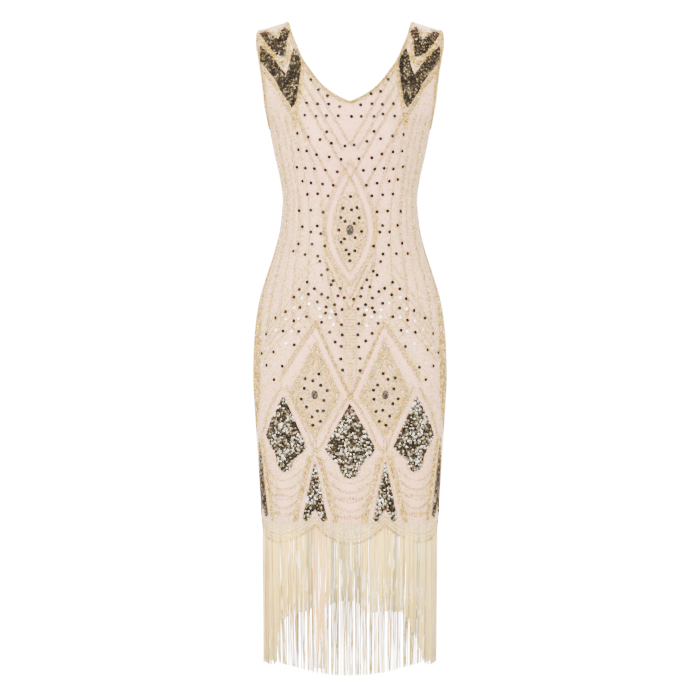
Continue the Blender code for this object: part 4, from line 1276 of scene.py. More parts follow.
def bead_the_waist(rows):
    """The waist lozenge with its filling and rays, and the rows that rise from it to the sides."""
    drops, widths = np.array(WAIST_LOZENGE).T
    away = (drops - WAIST_STONE_DROP) / WAIST_LOZENGE_HALF_HEIGHT
    inside = points_of(widths, drops)[1:-1]
    for sign in rows.on_both_halves():
        for grow in LOZENGE_GROWTHS:
            wider = widths * (1.0 + grow / widths.max())
            path = points_of(wider, drops + away * grow * LOZENGE_GROWTH_DOWN)
            rows.line(path, curved=True, size=0.0021 if grow else 0.0026)
        for shrink, pitch in LOZENGE_RUNGS:
            path = inside - (shrink, 0.0)
            rows.rungs(path[path[:, 0] > 0.001], pitch, math.pi / 2.6 * sign)
        for shift in LOWER_V_SHIFTS:
            apex = np.array((0.0, LOWER_V_DROP + shift))
            rows.line([apex, apex + LOWER_V_RUN])
        for number in range(LOWER_ROWS):
            foot = (0.0, LOWER_V_DROP) + np.array(LOWER_ROW_FIRST) + np.array(LOWER_ROW_STEP) * number
            rows.line([foot, foot + LOWER_ROW_RUN], size=0.0020, pitch=0.0031)
        for number in range(SIDE_ROWS):
            up = np.array(SIDE_ROW_STEP) * (number + 1)
            head = (HIP_APEX[0] + SIDE_ROW_OUT[0], HIP_APEX[1] - up[0])
            foot_along = HIP_OUTER_FOOT[0] + SIDE_ROW_OUT[1] - SIDE_ROW_NARROWING * number
            path = skirt_path((head, (foot_along, HIP_OUTER_FOOT[1] - up[1])))
            rows.line(path, size=0.0021, pitch=0.0030)
    inside = inside - (0.002, 0.0)
    rows.fill([*inside, *(inside * (-1, 1))[::-1]], pitch=0.0036, size=0.0018)
    for start, run, length in rays((0.0, WAIST_STONE_DROP), *WAIST_RAYS):
        rows.rungs([start, start + run * length], length, 0.0, length=0.0050, width=0.0018)


# Two rows down the centre with three ranks of rungs between them, and wide rungs at their foot.
LADDER_TOP, LADDER_FOOT, LADDER_HALF_WIDTH, LADDER_RANKS = 0.5040, 0.6560, 0.0105, (-0.0062, 0.0, 0.0062)
RANK_TOP, RANK_FOOT, WIDE_RANK_TOP = 0.5160, 0.6060, 0.6100
# The chevron over each hip, and the corners of the lozenge under it.
HIP_APEX, HIP_INNER_FOOT, HIP_OUTER_FOOT = (0.0600, 0.5390), (0.0000, 0.6660), (0.1300, 0.6500)
HIP_HEAD, HIP_OUTER, HIP_FOOT, HIP_INNER = (
    (0.0600, 0.5770), (0.1090, 0.6750), (0.0615, 0.7480), (0.0165, 0.6700)
)
HIP_CHEVRON_SHIFTS = (0.0, 0.0054, 0.0108)
# The hip lozenge's rows: share of its size and bead size. Its rungs: share and pitch.
HIP_ROWS = ((1.0, 0.0025), (0.925, 0.0025), (0.80, 0.0020))
HIP_RUNGS, HIP_FILL_SHARE = ((0.865, 0.0046), (0.70, 0.0056)), 0.76
# A small drop-shaped loop in the lozenge's upper corner.
LOOP_DROP, LOOP_HALF_WIDTH, LOOP_HALF_HEIGHT = 0.6150, 0.0075, 0.016


def bead_the_hips(rows):
    """The centre ladder, and the chevron, lozenge, loop and rays of each hip."""
    for at in (-LADDER_HALF_WIDTH, LADDER_HALF_WIDTH):
        rows.line([(at, LADDER_TOP), (at, LADDER_FOOT)], size=0.0019, pitch=0.0030)
    for at in LADDER_RANKS:
        rows.rungs([(at, RANK_TOP), (at, RANK_FOOT)], 0.0056, math.pi / 2, width=0.0014)
    rows.rungs([(0.0, WIDE_RANK_TOP), (0.0, LADDER_FOOT)], 0.0050, math.pi / 2, length=0.0090)
    middle = np.array(HIP_STONE)
    reach = np.array((HIP_HEAD, HIP_OUTER, HIP_FOOT, HIP_INNER, HIP_HEAD)) - middle
    turn = np.linspace(0.0, 2 * math.pi, 25)
    loop_along = HIP_APEX[0] + LOOP_HALF_WIDTH * np.sin(turn) * np.sin(turn / 2)
    loop = points_of(loop_along, LOOP_DROP - LOOP_HALF_HEIGHT * np.cos(turn))
    for _ in rows.on_both_halves():
        chevron = skirt_path((HIP_INNER_FOOT, HIP_APEX, HIP_OUTER_FOOT), 10)
        for shift in HIP_CHEVRON_SHIFTS:
            rows.line(chevron + (0.0, shift), size=0.0026, pitch=0.0028)
        for share, size in HIP_ROWS:
            rows.line(skirt_path(middle + reach * share, 8), size=size)
        for share, pitch in HIP_RUNGS:
            rows.rungs(skirt_path(middle + reach * share, 8), pitch, 0.9)
        rows.fill(skirt_path(middle + reach[:-1] * HIP_FILL_SHARE, 1), pitch=0.0037, size=0.0018)
        rows.line(skirt_path(loop, 2), size=0.0018, pitch=0.0022)
        for start, run, length in rays(middle, *HIP_RAYS):
            ray = skirt_path((start, start + run * length), 2)
            rows.rungs(ray, length, 0.0, length=0.0048, width=0.0018)
            tip = start + run * RAY_TIP_OUT
            rows.line(skirt_path((tip, tip + run * RAY_TIP_LENGTH), 2), size=0.0018, pitch=0.0022)


# A double row over each spearhead's shoulders, from its tip. Columns: aside, drop.
SPEAR_OUTLINE = ((0.0000, 0.6680), (0.0300, 0.7180), (0.0520, 0.7660), (0.0600, 0.7740))
SPEAR_ROW_SHIFTS, SIDE_SPEAR_APART = (0.0, -0.00544), 0.004
FORK_HEAD_DROP = 0.7800
# The edge of a fork. Columns: aside, drop.
FORK_FLANK = ((0.0000, 0.7790), (0.0085, 0.8080), (0.0170, 0.8420), (0.0235, 0.8680), (0.0290, 0.8920))
FORK_LEAD_HALF_GAPS = (0.0022, 0.0030)
# Bugles beside the forks, and a row of beads outside them. Columns: distance, slant, pitch.
FORK_RUNGS, FORK_ROW_APART = ((0.0050, 0.55, 0.0030), (0.0088, -0.55, 0.0032)), 0.0125
# Rows down each side seam: how far each lies in from it, and where it begins and ends.
# Bugles lie between them. Columns: inset, highest drop, lowest drop.
SIDE_PANEL = (
    (0.0030, 0.3300, 0.9050), (0.0085, 0.3900, 0.7360), (0.0140, 0.4200, 0.7300), (0.0195, 0.4450, 0.7230),
    (0.0250, 0.4680, 0.7150), (0.0305, 0.4900, 0.7060), (0.0360, 0.5120, 0.6960), (0.0415, 0.5360, 0.6840),
    (0.0470, 0.5640, 0.6680),
)
SIDE_PANEL_RUNG_IN = 0.0026
# Columns: lowest drop, rise, rows.
SWAGS = ((0.8220, 0.020, 1), (0.8370, 0.017, 2), (0.8560, 0.015, 1), (0.8700, 0.013, 2), (0.8860, 0.011, 1))
SWAG_PITCH, SWAG_FROM_FORK, SWAG_NARROWING, SIDE_SWAG_UP = 0.0030, 0.016, 0.20, 0.003
# Single bugles that hang below the swags in the middle and, a little higher, at the sides.
TASSEL_DROPS, TASSEL_REACH, TASSELS, TASSEL_LENGTH = (0.8450, 0.8770), 0.026, 11, 0.0070
SIDE_TASSELS_ALONG, SIDE_TASSELS_UP = 0.128, 0.004


def fork_flank(centre, direction, offset):
    """A path down one side of a fork, so far outside its outline."""
    return [on_fork(centre, centre + direction * (along + offset), drop) for along, drop in FORK_FLANK]


def bead_the_skirt(rows):
    """Rows over the spearheads, beside the forks and down the side seams, swags and tassels."""
    spear = np.array(SPEAR_OUTLINE)
    middle = (FORK_ALONG + SIDE_FORK_ALONG) / 2
    for sign in rows.on_both_halves():
        for shift in SPEAR_ROW_SHIFTS:
            rows.line(skirt_path(spear) + (0.0, shift))
        for direction in (-1, 1):
            path = (spear + (SIDE_SPEAR_APART, 0.0)) * (direction, 1) + (SIDE_SPEAR_ALONG, 0.0)
            for shift in SPEAR_ROW_SHIFTS:
                rows.line(skirt_path(path + (0.0, shift)))
        for direction in (-1, 1):
            upper, lower = (FORK_ALONG + direction * gap for gap in FORK_LEAD_HALF_GAPS)
            lead = ((upper, HIP_FOOT[1] + 0.001), (lower, FORK_HEAD_DROP))
            rows.line(skirt_path(lead, 3))
            for centre in (FORK_ALONG, SIDE_FORK_ALONG):
                for apart, slant, pitch in FORK_RUNGS:
                    rows.rungs(fork_flank(centre, direction, apart), pitch, slant * direction * sign)
                rows.line(fork_flank(centre, direction, FORK_ROW_APART), size=0.0021)
        for lowest, rise, count in SWAGS:
            for low in lowest + np.arange(count) * SWAG_PITCH:
                gap = SWAG_FROM_FORK + (low - FORK_HEAD_DROP) * SWAG_NARROWING
                side_reach = SIDE_FORK_ALONG - gap - middle
                for shares, along, reach, drop in (
                    (np.linspace(0.0, 1.0, 12), 0.0, FORK_ALONG - gap, low),
                    (np.linspace(-1.0, 1.0, 20), middle, side_reach, low - SIDE_SWAG_UP),
                ):
                    swag = points_of(along + reach * shares, drop - rise * shares**2)
                    rows.line(swag, size=0.0020, pitch=0.0026)
        for drop in TASSEL_DROPS:
            for aside in np.linspace(-TASSEL_REACH, TASSEL_REACH, TASSELS):
                for at, top in ((abs(aside), drop), (SIDE_TASSELS_ALONG + aside, drop - SIDE_TASSELS_UP)):
                    tassel = [(at, top), (at, top + TASSEL_LENGTH)]
                    rows.rungs(tassel, TASSEL_LENGTH, 0.0, length=0.0055)
        for inset, highest, lowest in SIDE_PANEL:
            drops = np.linspace(highest, lowest, 60)
            path = points_of(half_girth(rows.side, drops) - inset, drops)
            rows.line(path)
            rows.rungs(path - (SIDE_PANEL_RUNG_IN, 0.0), 0.0056, 0.35 * sign)


# Rows beside the neck and the armholes, and above the hem. Columns: inset, bead size.
EDGE_ROWS = ((0.0016, 0.0024), (0.0042, 0.0021))
HEM_ROWS = ((0.0012, 0.0026), (0.0042, 0.0021), (0.0100, 0.0018), (0.0165, 0.0018))
EDGE_ROW_PITCH, HEM_ROW_PITCH, EDGE_ROW_MARGIN = 0.0025, 0.0026, 0.0008
# The neck's rows also lie lower, by a share of the inset, and near its point they aren't moved aside.
NECK_ROW_LOWER, NECK_POINT_FROM = 0.6, 0.97
SHOULDER_ROW_DROPS, SHOULDER_ROW_INSET = (0.0006, 0.0016), 0.003
# Places along an edge are closest at the shoulder, where it turns most.
EDGE_CROWDING = 1.6


def bead_the_edge(rows):
    """Rows of beads inside the neck and armholes, over the shoulder seams and along the hem."""
    side = rows.side
    neck = NECKS[side][-1][0]
    shares = np.linspace(0.0, 1.0, 60) ** EDGE_CROWDING
    close = {"pitch": EDGE_ROW_PITCH, "margin": EDGE_ROW_MARGIN}
    for _ in rows.on_both_halves():
        for inset, size in EDGE_ROWS:
            drops = neck * shares
            along = neck_along(side, drops) + inset * (drops < neck * NECK_POINT_FROM)
            rows.line(points_of(along, drops + inset * NECK_ROW_LOWER), size=size, **close)
            drops = UNDERARM * shares
            rows.line(points_of(half_girth(side, drops) - inset, drops), size=size, **close)
        for drop in SHOULDER_ROW_DROPS:
            inner = neck_along(side, drop) + SHOULDER_ROW_INSET
            along = np.linspace(inner, half_girth(side, drop) - SHOULDER_ROW_INSET, 9)
            rows.line(points_of(along, drop), size=0.0022, pitch=EDGE_ROW_PITCH, margin=0.0)
    for inset, size in HEM_ROWS:
        shares = np.linspace(-1.0, 1.0, 181)
        drops = SCALLOP_POINT_DROP + scallop(np.abs(shares)) - inset
        path = points_of(shares * half_girth(side, drops), drops)
        rows.line(path, size=size, pitch=HEM_ROW_PITCH, margin=EDGE_ROW_MARGIN)


# Columns: across, drop.
CHEVRON_BORDERS = (
    ((0.1590, 0.0080), (0.1500, 0.0060), (0.1310, 0.0280), (0.1240, 0.0140), (0.1150, 0.0110)),
    ((0.1585, 0.0260), (0.1450, 0.0540), (0.1320, 0.0720), (0.1130, 0.0800), (0.1090, 0.0420)),
    ((0.1580, 0.0410), (0.1370, 0.0610), (0.1280, 0.0740), (0.1180, 0.0860), (0.1030, 0.0600)),
    (
        (0.1550, 0.0890), (0.1430, 0.1080), (0.1280, 0.1260), (0.1180, 0.1480), (0.1000, 0.1780),
        (0.0985, 0.2000),
    ),
    (
        (0.0830, 0.0660), (0.0830, 0.0900), (0.0860, 0.1190), (0.0905, 0.1500), (0.0965, 0.1740),
        (0.0975, 0.1990),
    ),
)
CHEVRON_BORDER_HALF_GAP = 0.0028


def bead_the_shoulders(rows):
    """The borders of the shoulder chevrons: bugles between two rows of beads."""
    for sign in rows.on_both_halves():
        for border in CHEVRON_BORDERS:
            across, drop = np.array(border).T
            path = points_of(along_at(rows.side, drop, across), drop)
            rows.lines(path, (-CHEVRON_BORDER_HALF_GAP, CHEVRON_BORDER_HALF_GAP), pitch=0.0025)
            rows.rungs(path, 0.0036, 0.9 * sign, length=0.0050)


# From deep to pale gold, and a few beads that are peach or clear.
BEAD_STEPS = (
    (0.00, (0.120, 0.080, 0.008, 1.0)),
    (0.35, (0.340, 0.215, 0.014, 1.0)),
    (0.75, (0.660, 0.450, 0.050, 1.0)),
    (0.93, (0.780, 0.380, 0.120, 1.0)),
    (1.00, (0.950, 0.820, 0.480, 1.0)),
)


def bead_material():
    """Glass beads with a metal lining."""
    made, tree, shader = new_material("gold glass beads")
    tone, colour = tone_ramp(tree, BEAD_STEPS)
    set_inputs(
        tree, shader,
        Base_Color=colour,
        Roughness=spread(tree, tone, 0.0, 1.0, 0.30, 0.16),
        Metallic=0.8,
        Coat_Weight=0.2,
        Coat_Roughness=0.08,
    )
    return made


gold_beads = bead_material()
BEAD_ZONES = (("bodice", 0.0, 0.420), ("hips", 0.420, 0.760), ("skirt", 0.760, 1.0))
BEAD_UNEVENNESS, BEAD_FLATNESS = 0.06, (1.0, 1.0, 0.85)
sewn_beads = {}
for seed, side in ((21, "front"), (22, "back")):
    rows = BeadRows(side, seed)
    bead_the_shoulders(rows)
    bead_the_bodice(rows)
    bead_the_waist(rows)
    bead_the_hips(rows)
    bead_the_skirt(rows)
    bead_the_edge(rows)
    sewn_beads[side] = np.concatenate(rows.beads + rows.bugles)[:, :2]
    for zone, upper, lower in BEAD_ZONES:
        beads, bugles = rows.gathered(upper, lower)
        size = beads[:, 4:5] * rows.rng.normal(1.0, BEAD_UNEVENNESS, (len(beads), 3)) * BEAD_FLATNESS
        copies = set_on_cloth(BEAD_SHAPE, side, beads[:, :2], BEAD_LIFT, beads[:, 2:4], size)
        tones = rows.rng.random(len(beads))
        piece = joined_piece(f"beads_{zone}_{side}", BEAD_SHAPE, copies, tones, gold_beads)
        if len(bugles):
            copies = set_on_cloth(
                BUGLE_SHAPE, side, bugles[:, :2], BUGLE_WIDTH / 2, bugles[:, 2:4], bugles[:, [4, 5, 5]]
            )
            tones = rows.rng.random(len(bugles))
            piece = joined_piece(f"bugles_{zone}_{side}", BUGLE_SHAPE, copies, tones, gold_beads)

# The tiny beads of the net's finish thicken beside the sewn rows, and leave bare bands round the
# lozenges and the spearheads and down the sides of the bodice.
NEAR_ROW, FAR_SHARE, ROW_SHARE, BARE_MIDDLE = 0.0056, 0.34, 0.72, 0.35
# Columns: half width, share left, path of (along, drop).
BARE_BANDS = (
    (0.0050, 0.06, skirt_path(((0.0040, 0.6720), (0.0600, 0.5580), (0.1230, 0.6640)))),
    (0.0050, 0.06, skirt_path(((0.1230, 0.6880), (0.0615, 0.7620), (0.0040, 0.6860)))),
    (0.0060, 0.06, skirt_path(((0.1230, 0.6880), (0.1700, 0.7700)))),
    (0.0045, 0.06, [(w * 1.30, d + (d - WAIST_STONE_DROP) * 0.16) for d, w in WAIST_LOZENGE]),
    (0.0040, 0.06, list(zip(np.add(SIDE_LINES[2], 0.0070), SIDE_LINE_DROPS))),
    (0.0160, 0.06, ((0.0000, 0.8300), (0.0000, 0.8800))),
    (0.0160, 0.06, ((0.1210, 0.8200), (0.1210, 0.8750))),
    (0.0650, 0.40, ((0.0000, 0.1700), (0.0300, 0.2700))),
)


def apart_from(path, spots):
    """How far each spot lies from a path of straight parts."""
    path = np.array(path, float)
    nearest = np.full(len(spots), 1.0)
    for start, end in zip(path[:-1], path[1:]):
        run = end - start
        share = np.clip((spots - start) @ run / (run @ run), 0.0, 1.0)
        nearest = np.minimum(nearest, np.linalg.norm(spots - start - share[:, None] * run, axis=-1))
    return nearest


for side, panel in net_panels.items():
    corners = np.empty(len(panel.data.loops) * 2, np.float32)
    panel.data.uv_layers["cloth"].data.foreach_get("uv", corners)
    vertex = np.empty(len(panel.data.loops), np.int32)
    panel.data.loops.foreach_get("vertex_index", vertex)
    spots = np.zeros((len(panel.data.vertices), 2))
    spots[vertex] = corners.reshape(-1, 2)
    spots[:, 1] = np.interp(spots[:, 1], CLOTH_LENGTHS[side], FORM_DROPS)
    apart = nearest_spots(spot_tree(sewn_beads[side]), spots)
    share = FAR_SHARE + (ROW_SHARE - FAR_SHARE) * np.exp(-((apart / NEAR_ROW) ** 2))
    for half_width, share_left, path in BARE_BANDS:
        share *= np.clip(apart_from(path, np.abs(spots)) / half_width - BARE_MIDDLE, share_left, 1.0)
    set_values(panel, "beading", share)

# ---------------------------------------------------------------------------------------------
# Edge beading of the neck and the armholes
# A narrow bias-cut satin cord is rolled over each raw edge of the net and lining, and a close row of
# gold beads is whipped along each of its two sides.

CORD_RADIUS, CORD_SIDES = 0.0018, 8
CORD_PITCH, CORD_SMOOTHING = 0.004, 3
CORD_OUT, CORD_BEHIND, CORD_TUCK, CORD_TUCK_REACH = 0.0014, 0.0006, 0.0014, 0.030
EDGE_BEAD_SIZE, EDGE_BEAD_PITCH, EDGE_BEAD_SINK, EDGE_BEAD_LEAN = 0.0023, 0.0025, 0.14, 0.55
# The way out of an edge is found from places just inside it, which lie lower near the neck's point.
# The armhole's edge runs on a little below the underarm.
INSIDE_EDGE, NECK_POINT_REACH, NECK_POINT_LOWER = 0.004, 0.012, 0.003
BELOW_UNDERARM = 0.0026
CORD_COLOUR = (0.460, 0.300, 0.045, 1.0)
CORD_WORN = (0.640, 0.450, 0.110, 1.0)


def cord_material():
    made, tree, shader = new_material("bias cord")
    where = add_node(tree, "TexCoord").outputs["Object"]
    weave = add_node(tree, "TexWave", {"bands_direction": "DIAGONAL"}, Vector=where, Scale=520.0)
    set_inputs(
        tree, shader,
        Base_Color=uneven(tree, CORD_COLOUR, CORD_WORN, 0.02, 0.8)["Colour"],
        Normal=bumped(tree, weave.outputs["Fac"], 0.3, 0.0002),
        Roughness=0.42,
    )
    return made


def edge_places(side, kind, sign):
    """Places along half of a neck's or armhole's edge, from the shoulder down, and just inside it."""
    shares = np.linspace(0.0, 1.0, 70) ** EDGE_CROWDING
    if kind == "neck":
        point = NECKS[side][-1][0]
        drops = point * shares
        along = neck_along(side, drops)
        inward = INSIDE_EDGE
        lower = np.where(drops > point - NECK_POINT_REACH, NECK_POINT_LOWER, 0.0)
    else:
        drops = np.append(UNDERARM * shares, UNDERARM + BELOW_UNDERARM)
        along = half_girth(side, drops)
        inward, lower = -INSIDE_EDGE, 0.0
    return (sign * along, drops), (sign * (along + inward), drops + lower)


def smoothed_ring(points):
    for _ in range(CORD_SMOOTHING):
        points = (np.roll(points, 1, axis=0) + points * 2 + np.roll(points, -1, axis=0)) / 4
    return points


def even_ring(points, pitch):
    """A closed ring of points spaced evenly, about a pitch apart."""
    closed = np.concatenate([points, points[:1]])
    stops = lengths_along(closed)
    at = np.linspace(0.0, stops[-1], max(8, int(round(stops[-1] / pitch))) + 1)[:-1]
    return points_of(*(np.interp(at, stops, column) for column in closed.T))


def nearest_of(points, others):
    """Which of the others lies nearest to each point."""
    return np.argmin(np.linalg.norm(points[:, None] - others[None], axis=-1), axis=1)


def edge_ring(kind, sign):
    """The cord's centre line and the outward normal of the cloth beside it, all the way round."""
    centres = []
    normals = []
    order = (("front", 1, 1), ("front", -1, -1), ("back", -1, 1), ("back", 1, -1))
    if kind == "armhole":
        order = (("front", sign, 1), ("back", sign, -1))
    for side, half, direction in order:
        edge, inner = edge_places(side, kind, half)
        away = unit(place(side, *edge) - place(side, *inner))
        facing = outward(side, *edge)
        # At the underarm the cord turns in under the side seam.
        left = UNDERARM - edge[1] if kind == "armhole" else CORD_TUCK_REACH
        share = np.clip(left / CORD_TUCK_REACH, 0.0, 1.0)[..., None]
        out = away * (CORD_OUT * share - CORD_TUCK * (1.0 - share))
        centres.append((place(side, *edge) + out - facing * CORD_BEHIND)[::direction])
        normals.append(facing[::direction])
    return np.concatenate(centres), np.concatenate(normals)


def edge_cord(name, kind, node, sign=1):
    """A cord round an edge, and the row of beads along each of its two sides."""
    centres, normals = edge_ring(kind, sign)
    ring = smoothed_ring(even_ring(centres, CORD_PITCH))
    facing = smoothed_ring(normals[nearest_of(ring, centres)])
    run = unit(np.roll(ring, -1, axis=0) - np.roll(ring, 1, axis=0))
    facing = unit(facing - run * np.sum(facing * run, axis=-1, keepdims=True))
    aside = np.cross(run, facing)
    turn = np.arange(CORD_SIDES)[:, None] * 2 * math.pi / CORD_SIDES
    tube = ring[:, None] + CORD_RADIUS * (np.cos(turn) * facing[:, None] + np.sin(turn) * aside[:, None])
    first = np.arange(len(ring) * CORD_SIDES).reshape(-1, CORD_SIDES)
    after = np.roll(first, -1, axis=0)
    quads = np.stack([first, np.roll(first, -1, axis=1), np.roll(after, -1, axis=1), after], axis=-1)
    cord = add_piece(name, tube.reshape(-1, 3), quads.reshape(-1, 4)[:, ::-1], bias_cord)
    cord.data.shade_smooth()
    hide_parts(node)
    copies = []
    for lean in (EDGE_BEAD_LEAN, -EDGE_BEAD_LEAN):
        away = facing * math.cos(lean) + aside * math.sin(lean)
        row = even_ring(ring + away * (CORD_RADIUS + EDGE_BEAD_SIZE * EDGE_BEAD_SINK), EDGE_BEAD_PITCH)
        near = nearest_of(row, ring)
        size = EDGE_BEAD_SIZE * edge_rng.normal(1.0, 0.05, (len(row), 1))
        copies.append(set_at(BEAD_SHAPE, row, run[near], away[near], size))
    copies = np.concatenate(copies)
    beads = joined_piece(f"{name}_beads", BEAD_SHAPE, copies, edge_rng.random(len(copies)), gold_beads)


edge_rng = np.random.default_rng(31)
bias_cord = cord_material()
edge_cord("neck_cord", "neck", "neck_piping")
edge_cord("armhole_cord_left", "armhole", "armhole_piping_left", 1)
edge_cord("armhole_cord_right", "armhole", "armhole_piping_right", -1)

# ---------------------------------------------------------------------------------------------
# Fringe
# Twisted rayon threads in cream and ecru, the darkest ecru ones also painted shade between the
# threads, looped into a straight heading tape that is sewn behind the scalloped edge. The front is
# cut as an arch with long sides, the back longest at its centre.
# The threads hang in small locks, as they leave the heading, and part a little between them.

LOCKS_PER_PANEL, THREADS_PER_LOCK = 118, 14
THREAD_WIDTH, THREAD_TIP_SHARE, THREAD_UNEVENNESS = 0.00080, 0.70, 0.08
THREAD_PARTS = 5
LOCK_WIDTH, LOCK_GATHER, LOCK_STRAY, LOCK_SWAY = 0.0046, 0.50, 0.0006, 0.0011
THREAD_WANDER, THREAD_SWING, LOCK_TONE_SHARE = 0.0007, 0.0006, 0.75
GATHER_POWER = 1.6
HEADING_DROP, HEADING_HEIGHT, HEADING_STEPS = 0.8935, 0.0045, 121
HEADING_DEPTH, HEADING_THICKNESS = -0.0005, 0.0009
FRINGE_FROM_SEAM = 0.0016
FRINGE_DRAW_IN = 0.976
RAGGED_END = 0.0035
LONG_FRINGE_DROP, BACK_FRINGE_CENTRE_DROP = 1.150, 1.194
# Columns: across, drop.
FRONT_ENDS = (
    (-0.1380, 1.150), (-0.1290, 1.112), (-0.1230, 1.078), (-0.1140, 1.060), (-0.1070, 1.056),
    (-0.0880, 1.052), (-0.0680, 1.046), (-0.0450, 1.046), (-0.0260, 1.032), (0.0080, 1.030),
    (0.0200, 1.040), (0.0270, 1.050), (0.0930, 1.050), (0.1060, 1.066), (0.1190, 1.094),
    (0.1260, 1.120), (0.1380, 1.150),
)
LONG_LOCK, LONG_LOCK_TONE = (-0.067, -0.046), 1.2
FRINGE_CREAM = (0.940, 0.630, 0.105, 1.0)
# Ecru threads, darker than their own colour: they also paint the shade between threads and locks.
FRINGE_ECRU_AND_SHADE = (0.270, 0.205, 0.065, 1.0)
FRINGE_PEACH = (0.960, 0.530, 0.140, 1.0)
FRINGE_GREEN = (0.660, 0.570, 0.160, 1.0)
FRINGE_FADED = (0.950, 0.740, 0.320, 1.0)
FRINGE_STEPS = (
    (0.0, FRINGE_ECRU_AND_SHADE), (0.22, FRINGE_ECRU_AND_SHADE), (0.36, FRINGE_CREAM), (0.68, FRINGE_CREAM),
    (0.84, FRINGE_GREEN), (1.0, FRINGE_PEACH),
)


def fringe_end(side, across):
    """The drop of a lock's end."""
    if side == "back":
        share = abs(across) / float(smooth_curve(*np.array(STATIONS).T[:2], SCALLOP_POINT_DROP))
        return BACK_FRINGE_CENTRE_DROP - (BACK_FRINGE_CENTRE_DROP - LONG_FRINGE_DROP) * share**2
    if LONG_LOCK[0] < across < LONG_LOCK[1]:
        return LONG_FRINGE_DROP
    return float(np.interp(across, *np.array(FRONT_ENDS).T))


def thread_tubes(centres, widths):
    """Three-sided tubes along many centre lines of as many points, closed at both ends."""
    count, stops = centres.shape[:2]
    points = centres[:, :, None] + ring_of(3, 0.5, 0.0) * widths[:, :, None, None]
    last = (stops - 1) * 3
    one = band(stops, 3) + [(0, 1, 2), (last, last + 2, last + 1)]
    faces = np.array(one)[None] + (np.arange(count) * stops * 3)[:, None, None]
    return points.reshape(-1, 3), faces.reshape(-1, 3)


def fringe_material():
    made, tree, shader = new_material("rayon fringe")
    where = add_node(tree, "TexCoord").outputs["Object"]
    twist = add_node(
        tree, "TexWave", {"bands_direction": "Z"}, Vector=where, Scale=260.0, Distortion=3.0
    )
    set_inputs(
        tree, shader,
        Base_Color=uneven(tree, tone_ramp(tree, FRINGE_STEPS)[1], FRINGE_FADED, 0.05, 0.35)["Colour"],
        Normal=bumped(tree, twist.outputs["Fac"], 0.35, 0.0002),
        Roughness=0.46,
        Sheen_Weight=0.3,
    )
    return made


def lock_of_threads(side, lock, reach, rng):
    """The centre lines of one lock's threads and their tones."""
    head = place(side, lock, SCALLOP_POINT_DROP)
    end = fringe_end(side, head[0])
    sway = rng.normal(0.0, LOCK_SWAY, 2)
    lock_tone = rng.random()
    if side == "front" and LONG_LOCK[0] < head[0] < LONG_LOCK[1]:
        lock_tone = LONG_LOCK_TONE
    top = HEADING_DROP + HEADING_HEIGHT * 0.5
    shares = np.linspace(0.0, 1.0, THREAD_PARTS + 1)
    bent = shares**GATHER_POWER
    lines = []
    tones = []
    for _ in range(THREADS_PER_LOCK):
        at = np.clip(lock + rng.uniform(-0.5, 0.5) * LOCK_WIDTH, -reach, reach)
        root = place(side, at, top, HEADING_DEPTH - HEADING_THICKNESS * rng.random())
        length_share = 1.0 - RAGGED_END * abs(rng.normal(0.0, 1.3))
        foot = (head + (root - head) * LOCK_GATHER) * FRINGE_DRAW_IN
        foot[2] = -(top + (end - top) * length_share - RAGGED_END * rng.random())
        foot[:2] += sway + rng.normal(0.0, THREAD_WANDER, 2)
        phase, swing = rng.uniform(0, 2 * math.pi), rng.normal(0.0, THREAD_SWING)
        line = root + (foot - root) * points_of(bent, bent, shares)
        line[:, 0] += swing * np.sin(phase + 5.0 * shares) * shares
        lines.append(line)
        tone = LOCK_TONE_SHARE * lock_tone + (1.0 - LOCK_TONE_SHARE) * rng.random()
        tones.append(min(max(tone, 0.0), 1.0))
    return lines, tones


rayon = fringe_material()
for seed, side in ((61, "front"), (62, "back")):
    fringe_rng = np.random.default_rng(seed)
    reach = float(half_girth(side, SCALLOP_POINT_DROP)) - FRINGE_FROM_SEAM
    lines = []
    tones = []
    locks = np.linspace(-reach, reach, LOCKS_PER_PANEL)
    locks[1:-1] += fringe_rng.normal(0.0, LOCK_STRAY, LOCKS_PER_PANEL - 2)
    for lock in locks:
        lock_lines, lock_tones = lock_of_threads(side, lock, reach, fringe_rng)
        lines += lock_lines
        tones += lock_tones
    widths = THREAD_WIDTH * np.linspace(1.0, THREAD_TIP_SHARE, THREAD_PARTS + 1)[None, :]
    widths = widths * fringe_rng.normal(1.0, THREAD_UNEVENNESS, (len(lines), 1))
    fringe = add_piece(f"rayon_fringe_{side}", *thread_tubes(np.array(lines), widths), rayon)
    set_values(fringe, "tone", np.repeat(tones, (THREAD_PARTS + 1) * 3))
    fringe.data.shade_smooth()
    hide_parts(f"fringe_{side}")
    along = np.linspace(-reach, reach, HEADING_STEPS)
    corners = []
    for lower, inward in ((0.0, 0.0), (1.0, 0.0), (1.0, HEADING_THICKNESS), (0.0, HEADING_THICKNESS)):
        corners.append(place(side, along, HEADING_DROP + HEADING_HEIGHT * lower, HEADING_DEPTH - inward))
    strip = np.stack(corners, axis=1)
    number = np.arange(HEADING_STEPS * 4).reshape(-1, 4)
    turned = np.roll(number, -1, axis=1)
    quads = np.stack([number[:-1], turned[:-1], turned[1:], number[1:]], axis=-1).reshape(-1, 4)
    quads = np.concatenate([quads, number[:1, ::-1], number[-1:]])
    if side == "front":
        quads = quads[:, ::-1]
    tape = add_piece(f"fringe_heading_{side}", strip.reshape(-1, 3), quads, bias_cord)

# ---------------------------------------------------------------------------------------------
# Studio
# A large plain pale floor below the dress, which hangs at its height on a wearer, an even white
# surround, and soft lamps: a broad key from the left, a fill from the right, one above, one behind.

FLOOR_DROP, FLOOR_RADIUS, FLOOR_SIDES = 1.420, 14.0, 96
SURROUND_WHITE, SURROUND_GREY = 20.0, 3.2
REFLECTED_LOW, REFLECTED_HIGH = 0.4, 6.6
CAMERA_DISTANCE, CAMERA_DROP, CAMERA_LENS = 4.0, 0.589, 114.3
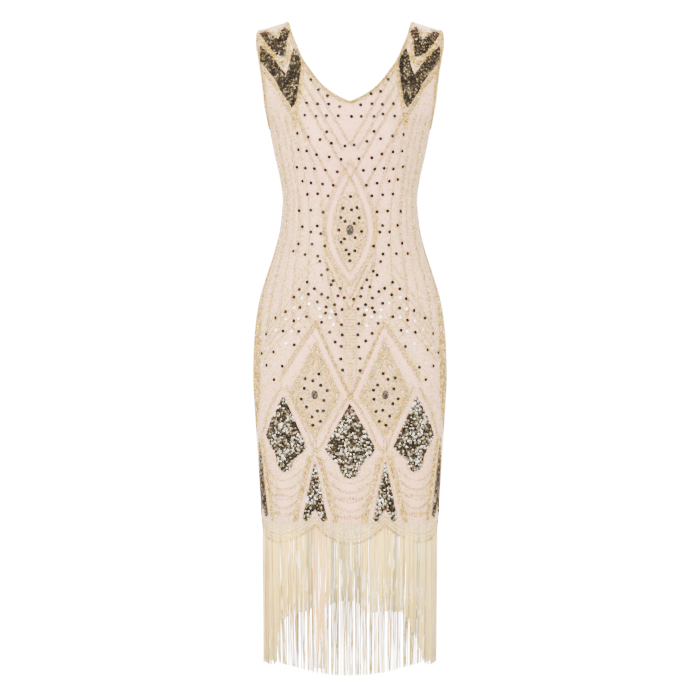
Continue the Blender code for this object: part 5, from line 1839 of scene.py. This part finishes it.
# Columns: name, place, size, watts.
LAMPS = (
    ("key", (-1.9, -3.2, 1.0), 1.8, 320.0),
    ("fill", (2.2, -3.0, 0.1), 2.2, 110.0),
    ("top", (0.0, -0.6, 2.2), 1.4, 72.0),
    ("rear", (0.8, 3.0, 1.2), 1.8, 140.0),
)

floor_mesh = bpy.data.meshes.new("floor")
floor_ring = ring_of(FLOOR_SIDES, FLOOR_RADIUS, -FLOOR_DROP)
floor_mesh.from_pydata(floor_ring.tolist(), [], [list(range(FLOOR_SIDES))])
floor = add_object("floor", floor_mesh)
floor_finish, floor_tree, floor_shader = new_material("pale floor")
set_inputs(
    floor_tree, floor_shader,
    Base_Color=(0.93, 0.93, 0.92, 1.0),
    Roughness=0.8,
    Emission_Color=add_node(floor_tree, "LightPath").outputs["Is Camera Ray"],
    Emission_Strength=SURROUND_WHITE,
)
floor_mesh.materials.append(floor_finish)

world = bpy.data.worlds.new("studio")
world.use_nodes = True
bpy.context.scene.world = world
sky = world.node_tree
seen = add_node(sky, "LightPath").outputs
height = add_node(sky, "SeparateXYZ", i0=add_node(sky, "TexCoord").outputs["Generated"]).outputs[2]
mirrored = spread(sky, height, -0.25, 0.45, REFLECTED_LOW, REFLECTED_HIGH)
lit = spread(sky, seen["Is Glossy Ray"], 0.0, 1.0, SURROUND_GREY, mirrored)
strength = spread(sky, seen["Is Camera Ray"], 0.0, 1.0, lit, SURROUND_WHITE)
set_inputs(sky, sky.nodes["Background"], Strength=strength, Color=(1.0, 1.0, 1.0, 1.0))


def aimed(name, data, spot):
    """A lamp or a camera at a place, aimed at the middle of the dress."""
    thing = add_object(name, data)
    thing.location = spot
    direction = Vector((0.0, 0.0, -CAMERA_DROP)) - thing.location
    thing.rotation_euler = direction.to_track_quat("-Z", "Y").to_euler()
    return thing


for name, spot, size, watts in LAMPS:
    lamp_data = bpy.data.lights.new(name, "AREA")
    lamp_data.energy = watts
    lamp_data.size = size
    aimed(name, lamp_data, spot)

camera_data = bpy.data.cameras.new("camera")
camera_data.lens = CAMERA_LENS
camera_data.sensor_width = 36.0
bpy.context.scene.camera = aimed("camera", camera_data, (0.0, -CAMERA_DISTANCE, -CAMERA_DROP))
